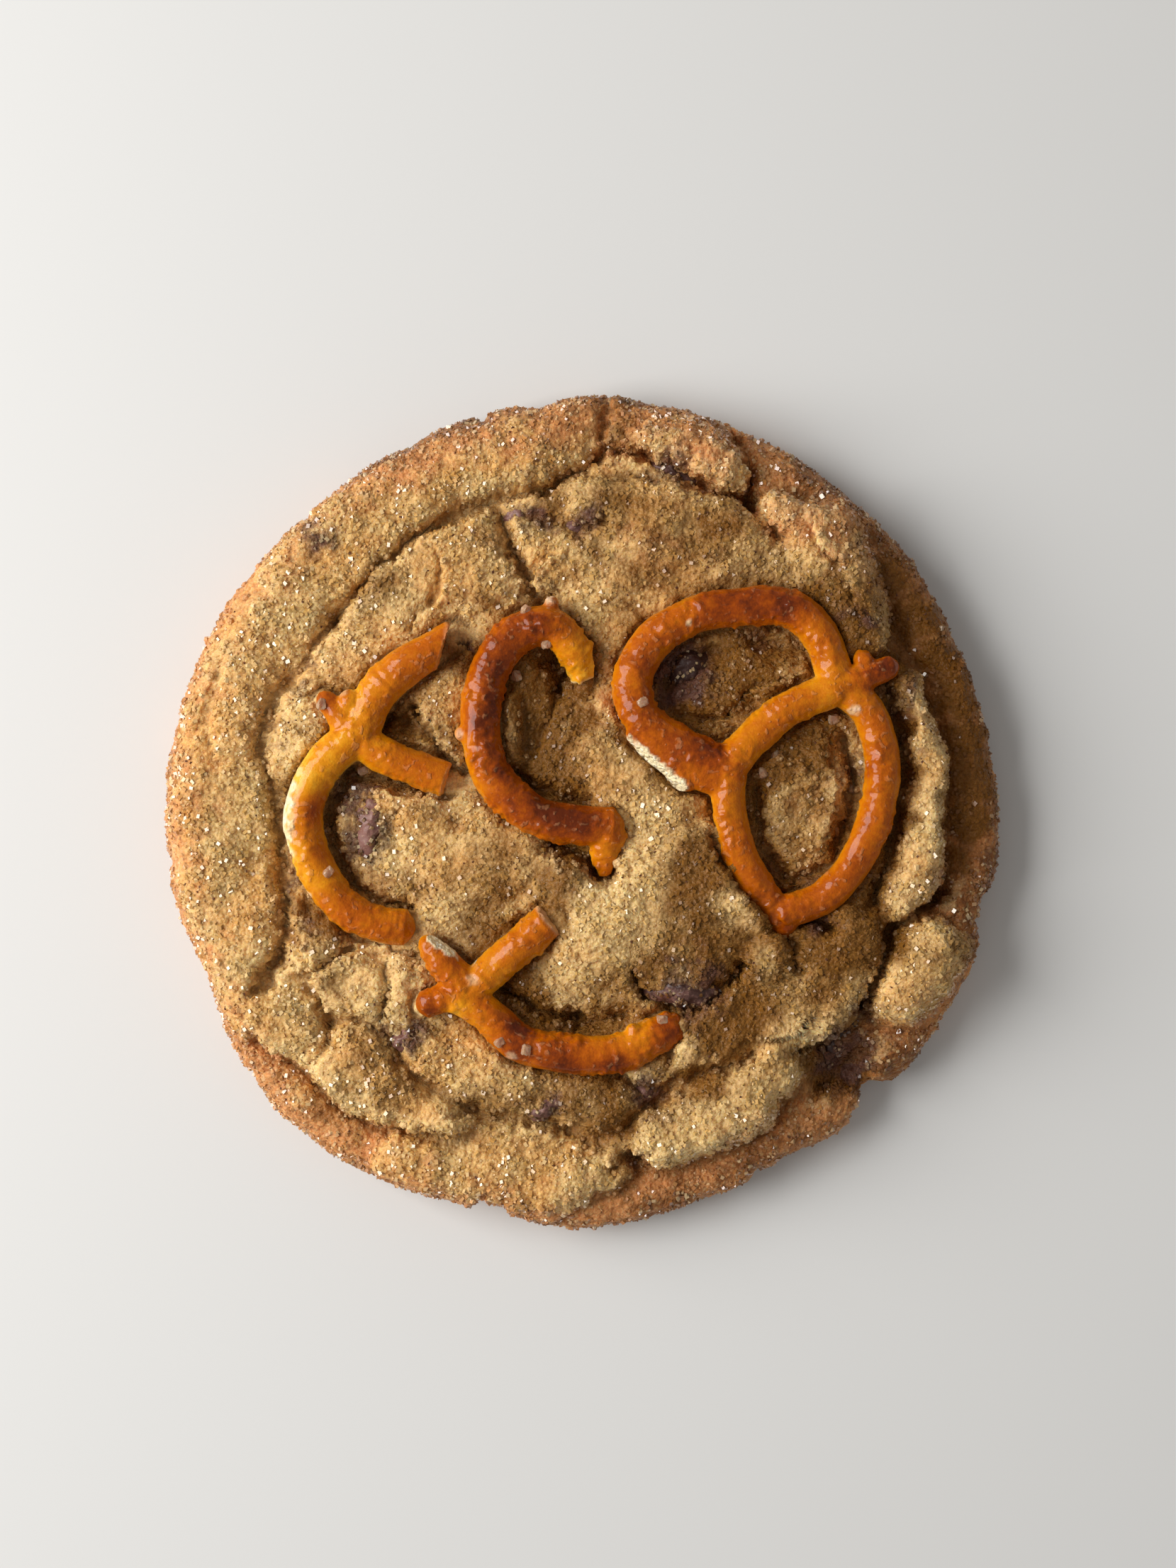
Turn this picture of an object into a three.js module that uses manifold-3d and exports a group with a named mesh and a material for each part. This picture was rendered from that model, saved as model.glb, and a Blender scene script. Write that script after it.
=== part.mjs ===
// A thick, soft snickerdoodle-style cookie, baked with broken pretzel twists pressed into its top
// and chocolate chips that show through cracks in the crust.
// Units are millimetres, +Z is up, and the cookie stands on z = 0 with its middle on the Z axis.
import * as THREE from "three";
import { mergeVertices } from "three/addons/utils/BufferGeometryUtils.js";
import Module from "manifold-3d";

const wasm = await Module();
wasm.setup();

// ---- Driving dimensions -------------------------------------------------------------------

const COOKIE_RADIUS = 49.9; // mean radius of the outline, at the widest level of the wall
const WIDEST_Z = 3.6; // height at which the wall stands furthest out
const FOOT_INSET = 1.7; // how far the wall curves in from there down to the tray
const SHOULDER = 3.2; // how far in from the outline the crust starts to turn down
const PLATEAU_Z = 11; // the crust inside the rim
const SHELF_Z = 6.6; // the thin outer skirt that spread first
const PLATEAU_RADIUS = 38; // where the plateau starts to fall to the skirt
const SHELF_RADIUS = 42.5; // where it has reached it
const CREASE_SPREAD = 1.2; // how far a crease's sides are spread, for facets of this size
const SOFTENING = 0.9; // reach over which the relief is evened out, so that its facets follow it
const SALT_GRAIN = [1.4, 1.15, 0.9]; // length, width and height of a grain of salt
const UNDERSIDE = 2; // thickness of dough that is trimmed off below the tray's level
const CRUST_CELLS = 56; // cells across the crust, along each side of its square net
const WALL_SHARE = 0.11; // share of the net's rings that make the wall
const WALL_TURN = 125; // degrees that the wall turns through, from the brow to the tray
const GAP = 0.3; // clearance between the dough and what is baked into it
const STRAND_SIDES = 8; // sides of a pretzel strand's section
const STRAND_STEP = 3.4; // length of one facet along a strand

// Bumps and dents of the outline: [angle in degrees, half width in degrees, height].
const OUTLINE_BUMPS = [
  [225, 13, 1.5],
  [182, 16, 0.4],
  [130, 24, -1.1],
  [96, 3, -0.9],
  [204, 7, -0.9],
  [256, 6, -1.0],
  [271, 7, 0.4],
  [292, 15, -1.2],
  [301, 4, -0.7],
  [315.5, 4, -1.9],
  [338, 6, 0.8],
  [347, 2.5, -1.1],
  [356, 8, 0.5],
  [20, 20, -0.3],
  [84, 10, 0.3],
];

// ---- The relief of the crust --------------------------------------------------------------

const degrees = (a) => (a * Math.PI) / 180;
const mix = (a, b, t) => a + (b - a) * t;

function smoothstep(from, to, x) {
  const t = Math.min(1, Math.max(0, (x - from) / (to - from)));
  return t * t * (3 - 2 * t);
}

// Stations of a fold that runs round the cookie's rim, from one angle to another.
function alongRim(radius, from, to, half) {
  const steps = Math.max(1, Math.round(Math.abs(to - from) / 9));
  return Array.from({ length: steps + 1 }, (_, i) => {
    const a = degrees(mix(from, to, i / steps));
    return [radius * Math.cos(a), radius * Math.sin(a), half];
  });
}

// Folds and lumps that stand up from the crust. Each is [height of its crest, how square its
// section is, stations [x, y, half width] along its spine].
const FOLDS = [
  // the rim, anticlockwise from the north-east
  [8.2, 2.4, alongRim(46.6, 38, 76, 3.4)],
  [10.4, 2.4, alongRim(44.8, 74, 100, 5.4)],
  [11.2, 2.4, alongRim(43.2, 100, 130, 5.2)],
  [11.4, 2.2, alongRim(44, 130, 206, 6.4)],
  [8.4, 2.4, alongRim(46.6, 206, 262, 4.6)],
  [11.6, 2.8, [[-40, -22, 4.6], [-34.8, -25.4, 4.8]]],
  [12, 2.4, [[-31, -29, 3.6], [-27, -31.6, 5], [-21.5, -34, 4.4], [-15.5, -36, 3]]],
  [10.2, 2.4, [[-22, -42, 4.4], [-12, -42.8, 4.9], [-3, -43.2, 4.9], [2.5, -42, 3.8]]],
  [7.4, 2.4, alongRim(46.5, 272, 314, 3.6)],
  [7.9, 2.4, alongRim(47, -14, 40, 3.2)],
  // the tall folds of the south-east
  [13, 2.6, [[9.4, -38.6, 3.9], [14, -36.8, 4.8], [19, -33.4, 5.2], [22.4, -30, 3.8]]],
  [12.6, 2.8, [[14, -27, 4.4], [20.5, -23.5, 6], [27.6, -20, 7.3], [30.4, -15.6, 5.6]]],
  [12.4, 2.8, [[38, -21.8, 4.2], [41, -16.6, 5]]],
  [7.8, 2.6, [[34.6, -29.6, 2.4], [38.4, -26.8, 2.6]]],
  // the folds of the east and north-east, which overhang the skirt
  [12.6, 2.4, [[38.2, -10.6, 2.6], [40.2, -6, 3.2], [40.8, 0, 2.9], [41.2, 6, 2.6], [38.2, 15.4, 2.4]]],
  [12.6, 2.8, [[23.6, 35.6, 3.2], [28.2, 33, 5.2], [30.8, 28, 5.4], [33, 21.5, 4]]],
  [12.4, 2.6, [[7.8, 44.2, 2.4], [12.6, 43.4, 3.6], [17, 41, 3.2]]],
  // lumps and plates on the plateau, from the north to the south
  [11.9, 2.6, [[1, 37.2, 3.2], [8, 35, 6], [16, 32.5, 6]]],
  [12, 2.6, [[-24, 25, 5], [-17.4, 27.6, 6], [-13, 28.6, 5]]],
  [11.9, 3, [[-16.6, 12, 3.4], [-15, 15, 3.2]]],
  [11.6, 2.6, [[-31.5, 17, 3], [-33.6, 10, 3.6]]],
  [11.9, 2.6, [[-19, -1.6, 3.4], [-16, -6, 4.6], [-9, -5, 5.6]]],
  [11.3, 2.6, [[16, 13.6, 2.4], [21, 16.6, 3], [25, 18.4, 2.4]]],
  [11.6, 2.6, [[25.8, 5, 4.6], [26.2, -0.4, 4.6]]],
  [11.7, 2.6, [[-31.6, -14.6, 3], [-31.4, -16.6, 3]]],
  [12, 2.8, [[-29.2, -19.8, 3.4], [-26, -20.4, 3.6]]],
  [11.9, 2.8, [[-21.2, -20.4, 2.4], [-20.8, -22.8, 2.6]]],
  [12, 2.4, [[-19, -27.8, 2.6], [-14, -30, 3.9], [-8, -32, 3.4]]],
  [11.6, 2.4, [[0.4, -34, 3.6], [2.4, -34.6, 3.3]]],
  // the dome in the middle, which has risen over the ends of the pretzels
  [12.4, 2.2, [[4, 6, 6], [9, -1, 6]]],
  [13.9, 2.2, [[2.5, -11, 9.6], [12, -12.4, 9.6]]],
  [13.4, 2.6, [[13.6, -4.5, 4.6], [19, -11, 4.6]]],
  [13.2, 2.8, [[21.8, -16.6, 3.6], [21.2, -18.4, 3.4]]],
];

// Creases, cracks and hollows that sink into the crust. Each is [depth, stations [x, y, half width]].
const CREASES = [
  // between the rim and the plateau, from the north by the west to the south-west
  [1.9, [[8, 42.6, 1], [3, 43.4, 1], [-4, 38.8, 1], [-15, 35.6, 1.1], [-22.5, 30.8, 1], [-30, 23, 1.2]]],
  [1.9, [[-30, 23, 1.2], [-32.8, 18, 1.9], [-36, 13.5, 1.9], [-38.3, 8.5, 1.5], [-36.8, -2, 1.1]]],
  [1.9, [[-36.8, -2, 1.1], [-35.2, -14, 1.1], [-37.5, -21, 1.1]]],
  [0.7, [[-38, 28, 1.4], [-43, 19, 1.4], [-44.6, 10, 1.4], [-41, 6.4, 1.1]]],
  [1.6, [[7, 42.6, 1], [11, 41.2, 1], [14, 39.5, 1], [19.8, 37.6, 1.1]]],
  [2.4, [[17, 46, 1], [19.6, 41, 1], [20.2, 37, 1], [23.5, 32.8, 1]]],
  [1.1, [[-10.6, 36.4, 1.2], [-6, 35.3, 1.3], [-1, 34.3, 1.4], [2.4, 34.6, 1]]],
  [1.9, [[-9.6, 35.2, 1], [-7.9, 30.6, 0.9], [-4.8, 24.6, 0.9]]],
  // round the fork
  [2.4, [[-28.2, 4.6, 1.1], [-29.9, 1, 1.1], [-29.4, -4, 1.1], [-26.6, -8.7, 1.1], [-20.4, -11, 1]]],
  [2.2, [[-27.5, 4.8, 1], [-19, 2.6, 0.9]]],
  [1.8, [[-24.8, 10.8, 1.6], [-22.2, 11.4, 1.8], [-20.4, 10.4, 1.2]]],
  [1.6, [[-20.4, 13, 0.9], [-17, 7.6, 0.9], [-14.2, 4.4, 0.9]]],
  [1.3, [[-36, 3, 1.3], [-35.8, -3, 1.5], [-32.6, -11.4, 1.2]]],
  [1.3, [[-28, -14.6, 1.2], [-24, -16.6, 1.3], [-19.6, -16.8, 1.2]]],
  // inside the crescent and under its end
  [1.5, [[-9.4, 15, 1], [-9.8, 10, 1], [-8.2, 5.6, 1], [-5, 2.7, 1], [0.6, 1.5, 1]]],
  [0.7, [[-6.6, 8, 3.6], [-5.4, 15, 3.6]]],
  [2.8, [[-4.2, -3.8, 1], [-1.5, -5.1, 1.3], [0.8, -6.8, 1.2], [2.6, -7.6, 1]]],
  // inside the loops of the knot
  [1.9, [[9.8, 15, 2.6], [12, 18, 3], [16, 19.6, 3]]],
  [1.3, [[11, 12, 1.4], [17, 10.2, 1.4], [20, 13.5, 1.3]]],
  [1.3, [[20, 20.6, 1.6], [26, 19.4, 1.6]]],
  [2.3, [[31, 9, 1], [32, 4, 1], [31.6, -0.5, 1], [30, -4, 1]]],
  [1.7, [[20.5, 3, 1], [20.9, -3, 1.1], [22.6, -6.6, 1.3], [25.2, -8, 1.4], [28.4, -6.4, 1.4]]],
  // between the folds of the east and south-east
  [2.6, [[36.6, 15, 1.1], [38, 9, 1.2], [38.2, 4, 1.2], [37.4, -2, 1.2], [34.6, -10.8, 1]]],
  [2.6, [[43, -10, 1], [39.6, -12.2, 1], [36.3, -14, 1], [35.3, -18, 1], [33.8, -22.4, 1]]],
  [2.4, [[24.6, -28.6, 1], [29.2, -27.8, 1.5], [31.8, -25, 1.5], [33.8, -22.4, 1]]],
  // round the dome
  [1.6, [[5.6, -18.6, 0.9], [8, -21.5, 0.9], [11, -23, 0.9], [14, -22.6, 0.9], [18.4, -17.8, 0.9]]],
  [2.2, [[25.4, -14, 0.9], [27.2, -14, 0.9]]],
  [2.2, [[-9.6, -21, 1.1], [-6, -23, 1.4], [-0.6, -24.6, 1.3], [5, -24, 1.1]]],
  // between the lumps of the south-west
  [1.5, [[-33.2, -19.4, 0.9], [-30.6, -17.8, 0.9], [-27.6, -16.4, 0.9]]],
  [1.2, [[-23.2, -18, 0.9], [-23.3, -21, 0.9], [-24.2, -24.4, 0.9]]],
  [1.6, [[-32.6, -20.6, 0.9], [-30.6, -23, 0.9], [-30, -26.6, 0.9], [-32.6, -30, 0.9]]],
  [1.6, [[-29.6, -24.4, 0.9], [-23, -26.6, 1], [-20.4, -30.6, 1.2], [-13, -35.4, 1.2]]],
  [1.7, [[-39, -27.4, 1], [-32, -32.4, 1], [-25.6, -37.4, 1], [-21, -38.2, 1]]],
  // round the folds of the south
  [1.9, [[-14.6, -35, 1.2], [-4, -36.6, 1.4], [0.6, -38.6, 1.4], [7.6, -34.9, 1.2], [20, -28.6, 1.2]]],
  [1.5, [[4.2, -31.2, 1], [7, -33, 1.1], [10.4, -32.2, 1]]],
  [1.6, [[3, -42.4, 1], [5, -41.2, 1.2], [7.4, -41.3, 1]]],
];

// Plan distance from a point to a spine, as a multiple of the half width there.
function distanceToSpine(x, y, stations) {
  let nearest = Infinity;
  for (let i = 0; i + 1 < stations.length; i++) {
    const [ax, ay, halfA] = stations[i];
    const [bx, by, halfB] = stations[i + 1];
    const dx = bx - ax;
    const dy = by - ay;
    const along = ((x - ax) * dx + (y - ay) * dy) / (dx * dx + dy * dy);
    const t = Math.min(1, Math.max(0, along));
    nearest = Math.min(nearest, Math.hypot(x - ax - t * dx, y - ay - t * dy) / mix(halfA, halfB, t));
  }
  return nearest;
}

// The broad unevenness of a hand-scooped cookie.
function unevenness(x, y) {
  return 0.22 * Math.sin(0.31 * x + 0.6) * Math.sin(0.27 * y - 0.4) + 0.14 * Math.sin(0.62 * x - 0.48 * y);
}

// Height of the crust over a point of the plan.
function crustHeight(x, y) {
  const ground = mix(PLATEAU_Z, SHELF_Z, smoothstep(PLATEAU_RADIUS, SHELF_RADIUS, Math.hypot(x, y)));
  let z = ground;
  for (const [crest, squareness, stations] of FOLDS) {
    const d = distanceToSpine(x, y, stations);
    if (d < 1) z = Math.max(z, ground + (crest - ground) * (1 - d ** squareness));
  }
  for (const [depth, stations] of CREASES) {
    z -= depth * Math.exp(-((distanceToSpine(x, y, stations) / CREASE_SPREAD) ** 2));
  }
  return z + unevenness(x, y);
}

// The same, evened out over a small patch round the point.
function softCrustHeight(x, y) {
  const r = SOFTENING;
  const around = [[0, 0], [r, 0], [-r, 0], [0, r], [0, -r]];
  return around.reduce((sum, [dx, dy]) => sum + crustHeight(x + dx, y + dy), 0) / around.length;
}

function outlineRadius(angle) {
  let radius = COOKIE_RADIUS;
  for (const [at, half, height] of OUTLINE_BUMPS) {
    const away = ((((angle * 180) / Math.PI - at + 540) % 360) + 360) % 360 - 180;
    radius += height * Math.exp(-((away / half) ** 2));
  }
  return radius;
}

// ---- Turning shapes into closed solids ----------------------------------------------------

function solidFrom(geometry) {
  const bare = geometry.clone();
  bare.deleteAttribute("normal");
  bare.deleteAttribute("uv");
  const merged = mergeVertices(bare, 1e-4);
  return new wasm.Manifold(
    new wasm.Mesh({
      numProp: 3,
      vertProperties: merged.attributes.position.array,
      triVerts: new Uint32Array(merged.index.array),
    }),
  );
}

function geometryFrom(solid) {
  const mesh = solid.getMesh();
  const geometry = new THREE.BufferGeometry();
  geometry.setAttribute("position", new THREE.BufferAttribute(mesh.vertProperties, 3));
  geometry.setIndex(new THREE.BufferAttribute(mesh.triVerts, 1));
  geometry.computeVertexNormals();
  return geometry;
}

const fuse = (solids) => solids.reduce((all, next) => all.add(next));

// ---- The dough ----------------------------------------------------------------------------

// Where a point of the square net lies: its ring, from 0 in the middle to 1 at the edge, and its angle.
function ringAndAngle(u, v) {
  const ring = Math.max(Math.abs(u), Math.abs(v));
  if (ring === 0) return { ring, angle: 0 };
  if (Math.abs(u) >= Math.abs(v)) {
    return { ring, angle: (Math.PI / 4) * (v / u) + (u < 0 ? Math.PI : 0) };
  }
  return { ring, angle: Math.PI / 2 - (Math.PI / 4) * (u / v) + (v < 0 ? Math.PI : 0) };
}

// A point of the crust, or of the wall, which turns down from it and in to the tray.
function crustPoint(u, v) {
  const { ring, angle } = ringAndAngle(u, v);
  const outline = outlineRadius(angle);
  const shoulder = outline - SHOULDER;
  const brow = 1 - WALL_SHARE;
  if (ring <= brow) {
    const radius = (shoulder * ring) / brow;
    const x = radius * Math.cos(angle);
    const y = radius * Math.sin(angle);
    return [x, y, softCrustHeight(x, y)];
  }
  const turn = ((ring - brow) / WALL_SHARE) * degrees(WALL_TURN);
  const above = turn < Math.PI / 2;
  const radius = above
    ? shoulder + SHOULDER * Math.sin(turn)
    : outline - FOOT_INSET * ((1 - Math.sin(turn)) / (1 - Math.sin(degrees(WALL_TURN))));
  const brim = shoulder + SHOULDER * 0.6 * Math.sin(Math.min(turn, Math.PI / 2));
  const height = softCrustHeight(brim * Math.cos(angle), brim * Math.sin(angle));
  const z = above
    ? mix(WIDEST_Z, height, Math.cos(turn) ** 0.8)
    : WIDEST_Z * (1 - 1.05 * (Math.cos(turn) / Math.cos(degrees(WALL_TURN))));
  return [radius * Math.cos(angle), radius * Math.sin(angle), z];
}

// The cookie starts as a square slab, whose net is rounded and whose top takes the crust's relief.
// Its underside is then cut off flat, at the tray.
function doughSolid() {
  const slab = new THREE.BoxGeometry(2, 2, 2, CRUST_CELLS, CRUST_CELLS, 1);
  const position = slab.attributes.position;
  for (let i = 0; i < position.count; i++) {
    const [x, y, z] = crustPoint(position.getX(i), position.getY(i));
    position.setXYZ(i, x, y, position.getZ(i) > 0 ? z : -UNDERSIDE);
  }
  const tray = new THREE.BoxGeometry(3 * COOKIE_RADIUS, 3 * COOKIE_RADIUS, 2 * UNDERSIDE);
  tray.translate(0, 0, -UNDERSIDE);
  return solidFrom(slab).subtract(solidFrom(tray));
}

// ---- The pretzel pieces -------------------------------------------------------------------

// A strand of pretzel: a cylinder bent along stations [x, y, z, radius], with flat broken ends.
function strandSolid(stations, swell = 0) {
  const path = new THREE.CatmullRomCurve3(stations.map(([x, y, z]) => new THREE.Vector3(x, y, z)));
  const steps = Math.max(2, Math.round(path.getLength() / STRAND_STEP));
  const tube = new THREE.CylinderGeometry(1, 1, 1, STRAND_SIDES, steps);
  const position = tube.attributes.position;
  const up = new THREE.Vector3(0, 0, 1);
  for (let i = 0; i < position.count; i++) {
    const t = Math.min(1, Math.max(0, position.getY(i) + 0.5));
    const place = t * (stations.length - 1);
    const before = Math.min(stations.length - 2, Math.floor(place));
    const radius = mix(stations[before][3], stations[before + 1][3], place - before) + swell;
    const tangent = path.getTangent(t);
    const side = new THREE.Vector3().crossVectors(tangent, up).normalize();
    const rise = new THREE.Vector3().crossVectors(side, tangent);
    const point = path
      .getPoint(t)
      .addScaledVector(side, radius * position.getX(i))
      .addScaledVector(rise, radius * position.getZ(i))
      .addScaledVector(tangent, t === 0 ? -swell : t === 1 ? swell : 0);
    position.setXYZ(i, point.x, point.y, point.z);
  }
  return solidFrom(tube);
}

// A rounded nub where a blister or a broken-off strand stood.
function nubSolid([x, y, z, radius], swell = 0) {
  const ball = new THREE.IcosahedronGeometry(radius + swell, 1);
  ball.translate(x, y, z);
  return solidFrom(ball);
}

// A solid with grains of coarse salt [x, y, turn] stuck to whatever lies highest there.
function salted(solid, grains) {
  const skin = new THREE.Mesh(geometryFrom(solid));
  const down = new THREE.Vector3(0, 0, -1);
  const [long, wide, high] = SALT_GRAIN;
  const stuck = grains.map(([x, y, turn]) => {
    const [touch] = new THREE.Raycaster(new THREE.Vector3(x, y, 30), down).intersectObject(skin);
    const grain = new THREE.BoxGeometry(long, wide, high);
    grain.rotateX(0.5 * Math.sin(turn));
    grain.rotateZ(turn);
    grain.translate(x, y, touch.point.z + 0.2 * high);
    return solidFrom(grain);
  });
  return fuse([solid, ...stuck]);
}

// A slab that snaps a piece off along a plane through a point, on the side that the heading faces.
function snapSolid({ at: [x, y], heading }) {
  const side = 12;
  const slab = new THREE.BoxGeometry(side, side, 2 * side);
  slab.translate(side / 2, 0, 0);
  slab.rotateZ(degrees(heading));
  slab.translate(x, y, 12);
  return solidFrom(slab);
}

// Each piece: its strands, the nubs and salt on it, and where it has snapped.
const PRETZELS = {
  pretzel_fork: {
    strands: [
      [
        [-16.4, 20.2, 12.7, 2.1], [-20.6, 17.2, 12.3, 2.2], [-24.6, 13.4, 12.0, 2.25], [-26.8, 9.3, 11.9, 2.4],
        [-30.6, 5.8, 11.8, 2.3], [-32.9, 0.6, 11.7, 2.35], [-32, -5, 11.6, 2.3], [-28.4, -10.6, 11.5, 2.25],
        [-23.6, -13.1, 11.2, 2.2], [-20.8, -13.6, 10.9, 2.1],
      ],
      [
        [-30.6, 13.7, 12.3, 1.25], [-28.6, 11.6, 12.1, 1.7], [-25.6, 8.2, 11.8, 2.1],
        [-21.4, 6, 11.7, 2.1], [-16.9, 4.4, 11.7, 2.1],
      ],
    ],
    nubs: [[-27.5, 13.6, 12.4, 1.6]],
    salt: [[-29.8, -6.8, 0.9], [-30.6, 12.9, 1.4]],
    snaps: [{ at: [-16.9, 19.6], heading: 8 }],
  },
  pretzel_crescent: {
    strands: [
      [
        [0.3, 15.8, 10.6, 1.8], [0.1, 19.2, 11.6, 2.2], [-3.8, 22.5, 12.1, 2.45], [-8.6, 20.9, 12.1, 2.45],
        [-11.7, 16, 12.1, 2.45], [-12.3, 10.4, 12.1, 2.45], [-10.2, 4.4, 12.0, 2.45], [-5.2, 0.3, 11.9, 2.45],
        [0.6, -1.6, 11.6, 2.4], [6, -1.6, 11.0, 2.2],
      ],
      [[4, -1.8, 11.2, 1.8], [3.2, -4.6, 10.8, 1.75], [2.4, -7.4, 10.1, 1.6]],
    ],
    nubs: [[-14.2, 9.4, 12.2, 0.95], [-3.6, 24.6, 11.6, 0.95]],
    salt: [[-4.3, 20.6, 0.3], [-6.6, 23.4, 1.1]],
    snaps: [],
  },
  pretzel_knot: {
    strands: [
      [
        [17.4, 5.4, 12.2, 2.4], [11.6, 8.4, 12.2, 2.45], [6.6, 11.7, 12.2, 2.35], [5.2, 15.8, 12.1, 2.3],
        [7.4, 20.6, 12.1, 2.3], [12.2, 23.4, 12.2, 2.3], [18, 24.3, 12.3, 2.3], [24.2, 23.7, 12.4, 2.3],
        [27.8, 20.2, 12.4, 2.15], [30.2, 15.4, 12.4, 2.1], [33.8, 12.2, 12.2, 2.1], [35.5, 6.4, 12.0, 2.1],
        [35.1, 0.8, 11.8, 2.1], [32.6, -5, 11.6, 2.05], [28.2, -9.3, 11.4, 2.05], [23, -11.4, 11.2, 2.05],
      ],
      [
        [17.2, 5.6, 12.1, 2.2], [17.5, 0.2, 12.0, 2.15], [19.1, -5.2, 11.8, 2.1],
        [22.2, -10.4, 11.5, 2.1], [24.6, -14.4, 11.0, 1.6],
      ],
      [
        [16.8, 5, 12.2, 2.1], [19.6, 9.1, 12.4, 2.0], [24, 13, 12.6, 2.0],
        [29.6, 14.7, 12.7, 2.1], [36.5, 17.4, 12.8, 1.3],
      ],
      [[6.2, 10.2, 11.9, 1.9], [11, 6.5, 12.0, 2.4], [16.2, 4, 12.0, 2.1]],
    ],
    nubs: [[33, 18.1, 12.8, 1.15]],
    salt: [[7, 13.1, 0.5]],
    snaps: [{ at: [8.6, 6.3], heading: 221 }],
  },
  pretzel_hook: {
    strands: [
      [
        [-18.9, -22.7, 12.1, 1.35], [-15.2, -21.6, 12.1, 1.75], [-11.6, -23.3, 11.9, 2.1],
        [-7.2, -26.8, 11.7, 2.3], [-1.4, -28.4, 11.6, 2.35], [4.4, -27.8, 11.5, 2.3],
        [9, -25.2, 11.2, 2.1], [12.4, -22.9, 10.9, 1.7],
      ],
      [[-3.9, -12.5, 12.6, 2.1], [-8.2, -16.2, 12.3, 2.15], [-12.4, -20, 12.1, 2.1], [-14.6, -22, 12.0, 1.8]],
      [[-18.5, -14.7, 13.0, 0.8], [-16.5, -17.3, 12.7, 1.45], [-13.6, -20.4, 12.3, 1.8]],
    ],
    nubs: [[5.9, -25.1, 12.4, 0.95]],
    salt: [[-9.6, -26.2, 0.7], [-6.6, -27.6, 1.5], [9.4, -24.2, 0.1]],
    snaps: [],
  },
};

// Grains of salt that came off the pretzels and lie on the dough.
const DOUGH_SALT = [
  [-26.1, 5.1, 0.4],
  [-7.8, 16.3, 1.9],
  [22.9, 6.9, 1.2],
  [21.3, 4.9, 2.0],
  [29.6, 11.2, 0.2],
  [32.2, 3, 1.6],
];

function pretzelSolid({ strands, nubs, salt, snaps }) {
  const whole = fuse([...strands.map((s) => strandSolid(s)), ...nubs.map((n) => nubSolid(n))]);
  const snapped = snaps.reduce((left, snap) => left.subtract(snapSolid(snap)), whole);
  return salted(snapped, salt);
}

// The room that a pretzel piece takes in the dough, with clearance all round.
function pretzelSocket({ strands, nubs }) {
  return fuse([...strands.map((s) => strandSolid(s, GAP)), ...nubs.map((n) => nubSolid(n, GAP))]);
}

// ---- The chocolate chips ------------------------------------------------------------------

// [x, y, half length, half width, heading in degrees, how far the chip stands over the crust round it]
const CHIPS = [
  [12.4, 17.4, 3.1, 2.6, 40, 0.5],
  [-25.1, -1.2, 3.9, 1.9, 78, 0.5],
  [12, -20.6, 4.6, 2.4, -4, 0.4],
  [10.8, 40.6, 3.0, 1.5, -20, 0.6],
  [-7.4, 35.5, 1.9, 1.5, 30, 0.4],
  [0, 34.3, 2.2, 1.4, 0, 0.4],
  [-4.2, -34.6, 2.5, 1.6, 24, 0.5],
  [-21, -26.4, 2.0, 1.3, 40, 0.4],
  [31.3, -26.2, 3.6, 2.6, 50, 0.6],
  [7.8, -32.9, 2.6, 1.4, 18, 0.4],
];
const CHIP_HALF_HEIGHT = 2.4;

function chipSolid([x, y, long, wide, heading, proud], swell = 0) {
  const chip = new THREE.OctahedronGeometry(1, 1);
  chip.scale(long + swell, wide + swell, CHIP_HALF_HEIGHT + swell);
  chip.rotateZ(degrees(heading));
  chip.translate(x, y, softCrustHeight(x, y) + proud - CHIP_HALF_HEIGHT);
  return solidFrom(chip);
}

// ---- Putting the cookie together ----------------------------------------------------------

const doughCrust = new THREE.MeshStandardMaterial({ color: "#c19a5e", roughness: 0.72, metalness: 0 });
const pretzelGlaze = new THREE.MeshStandardMaterial({ color: "#b8560f", roughness: 0.32, metalness: 0 });
const darkChocolate = new THREE.MeshStandardMaterial({ color: "#4a2620", roughness: 0.45, metalness: 0 });

function pieceMesh(name, solid, material) {
  const mesh = new THREE.Mesh(geometryFrom(solid), material);
  mesh.name = name;
  return mesh;
}

const pretzelSockets = fuse(Object.values(PRETZELS).map(pretzelSocket));
const chipSockets = fuse(CHIPS.map((chip) => chipSolid(chip, GAP)));

const cookie = new THREE.Group();
const dough = doughSolid().subtract(pretzelSockets).subtract(chipSockets);
cookie.add(pieceMesh("dough", salted(dough, DOUGH_SALT), doughCrust));
for (const [name, piece] of Object.entries(PRETZELS)) {
  cookie.add(pieceMesh(name, pretzelSolid(piece), pretzelGlaze));
}
CHIPS.forEach((chip, i) => {
  const bare = chipSolid(chip).subtract(pretzelSockets);
  cookie.add(pieceMesh(`chocolate_chip_${i + 1}`, bare, darkChocolate));
});

export default cookie;
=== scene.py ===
import math

import bpy
import numpy as np
from mathutils import Euler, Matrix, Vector, noise
from mathutils.bvhtree import BVHTree
from mathutils.kdtree import KDTree


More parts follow.
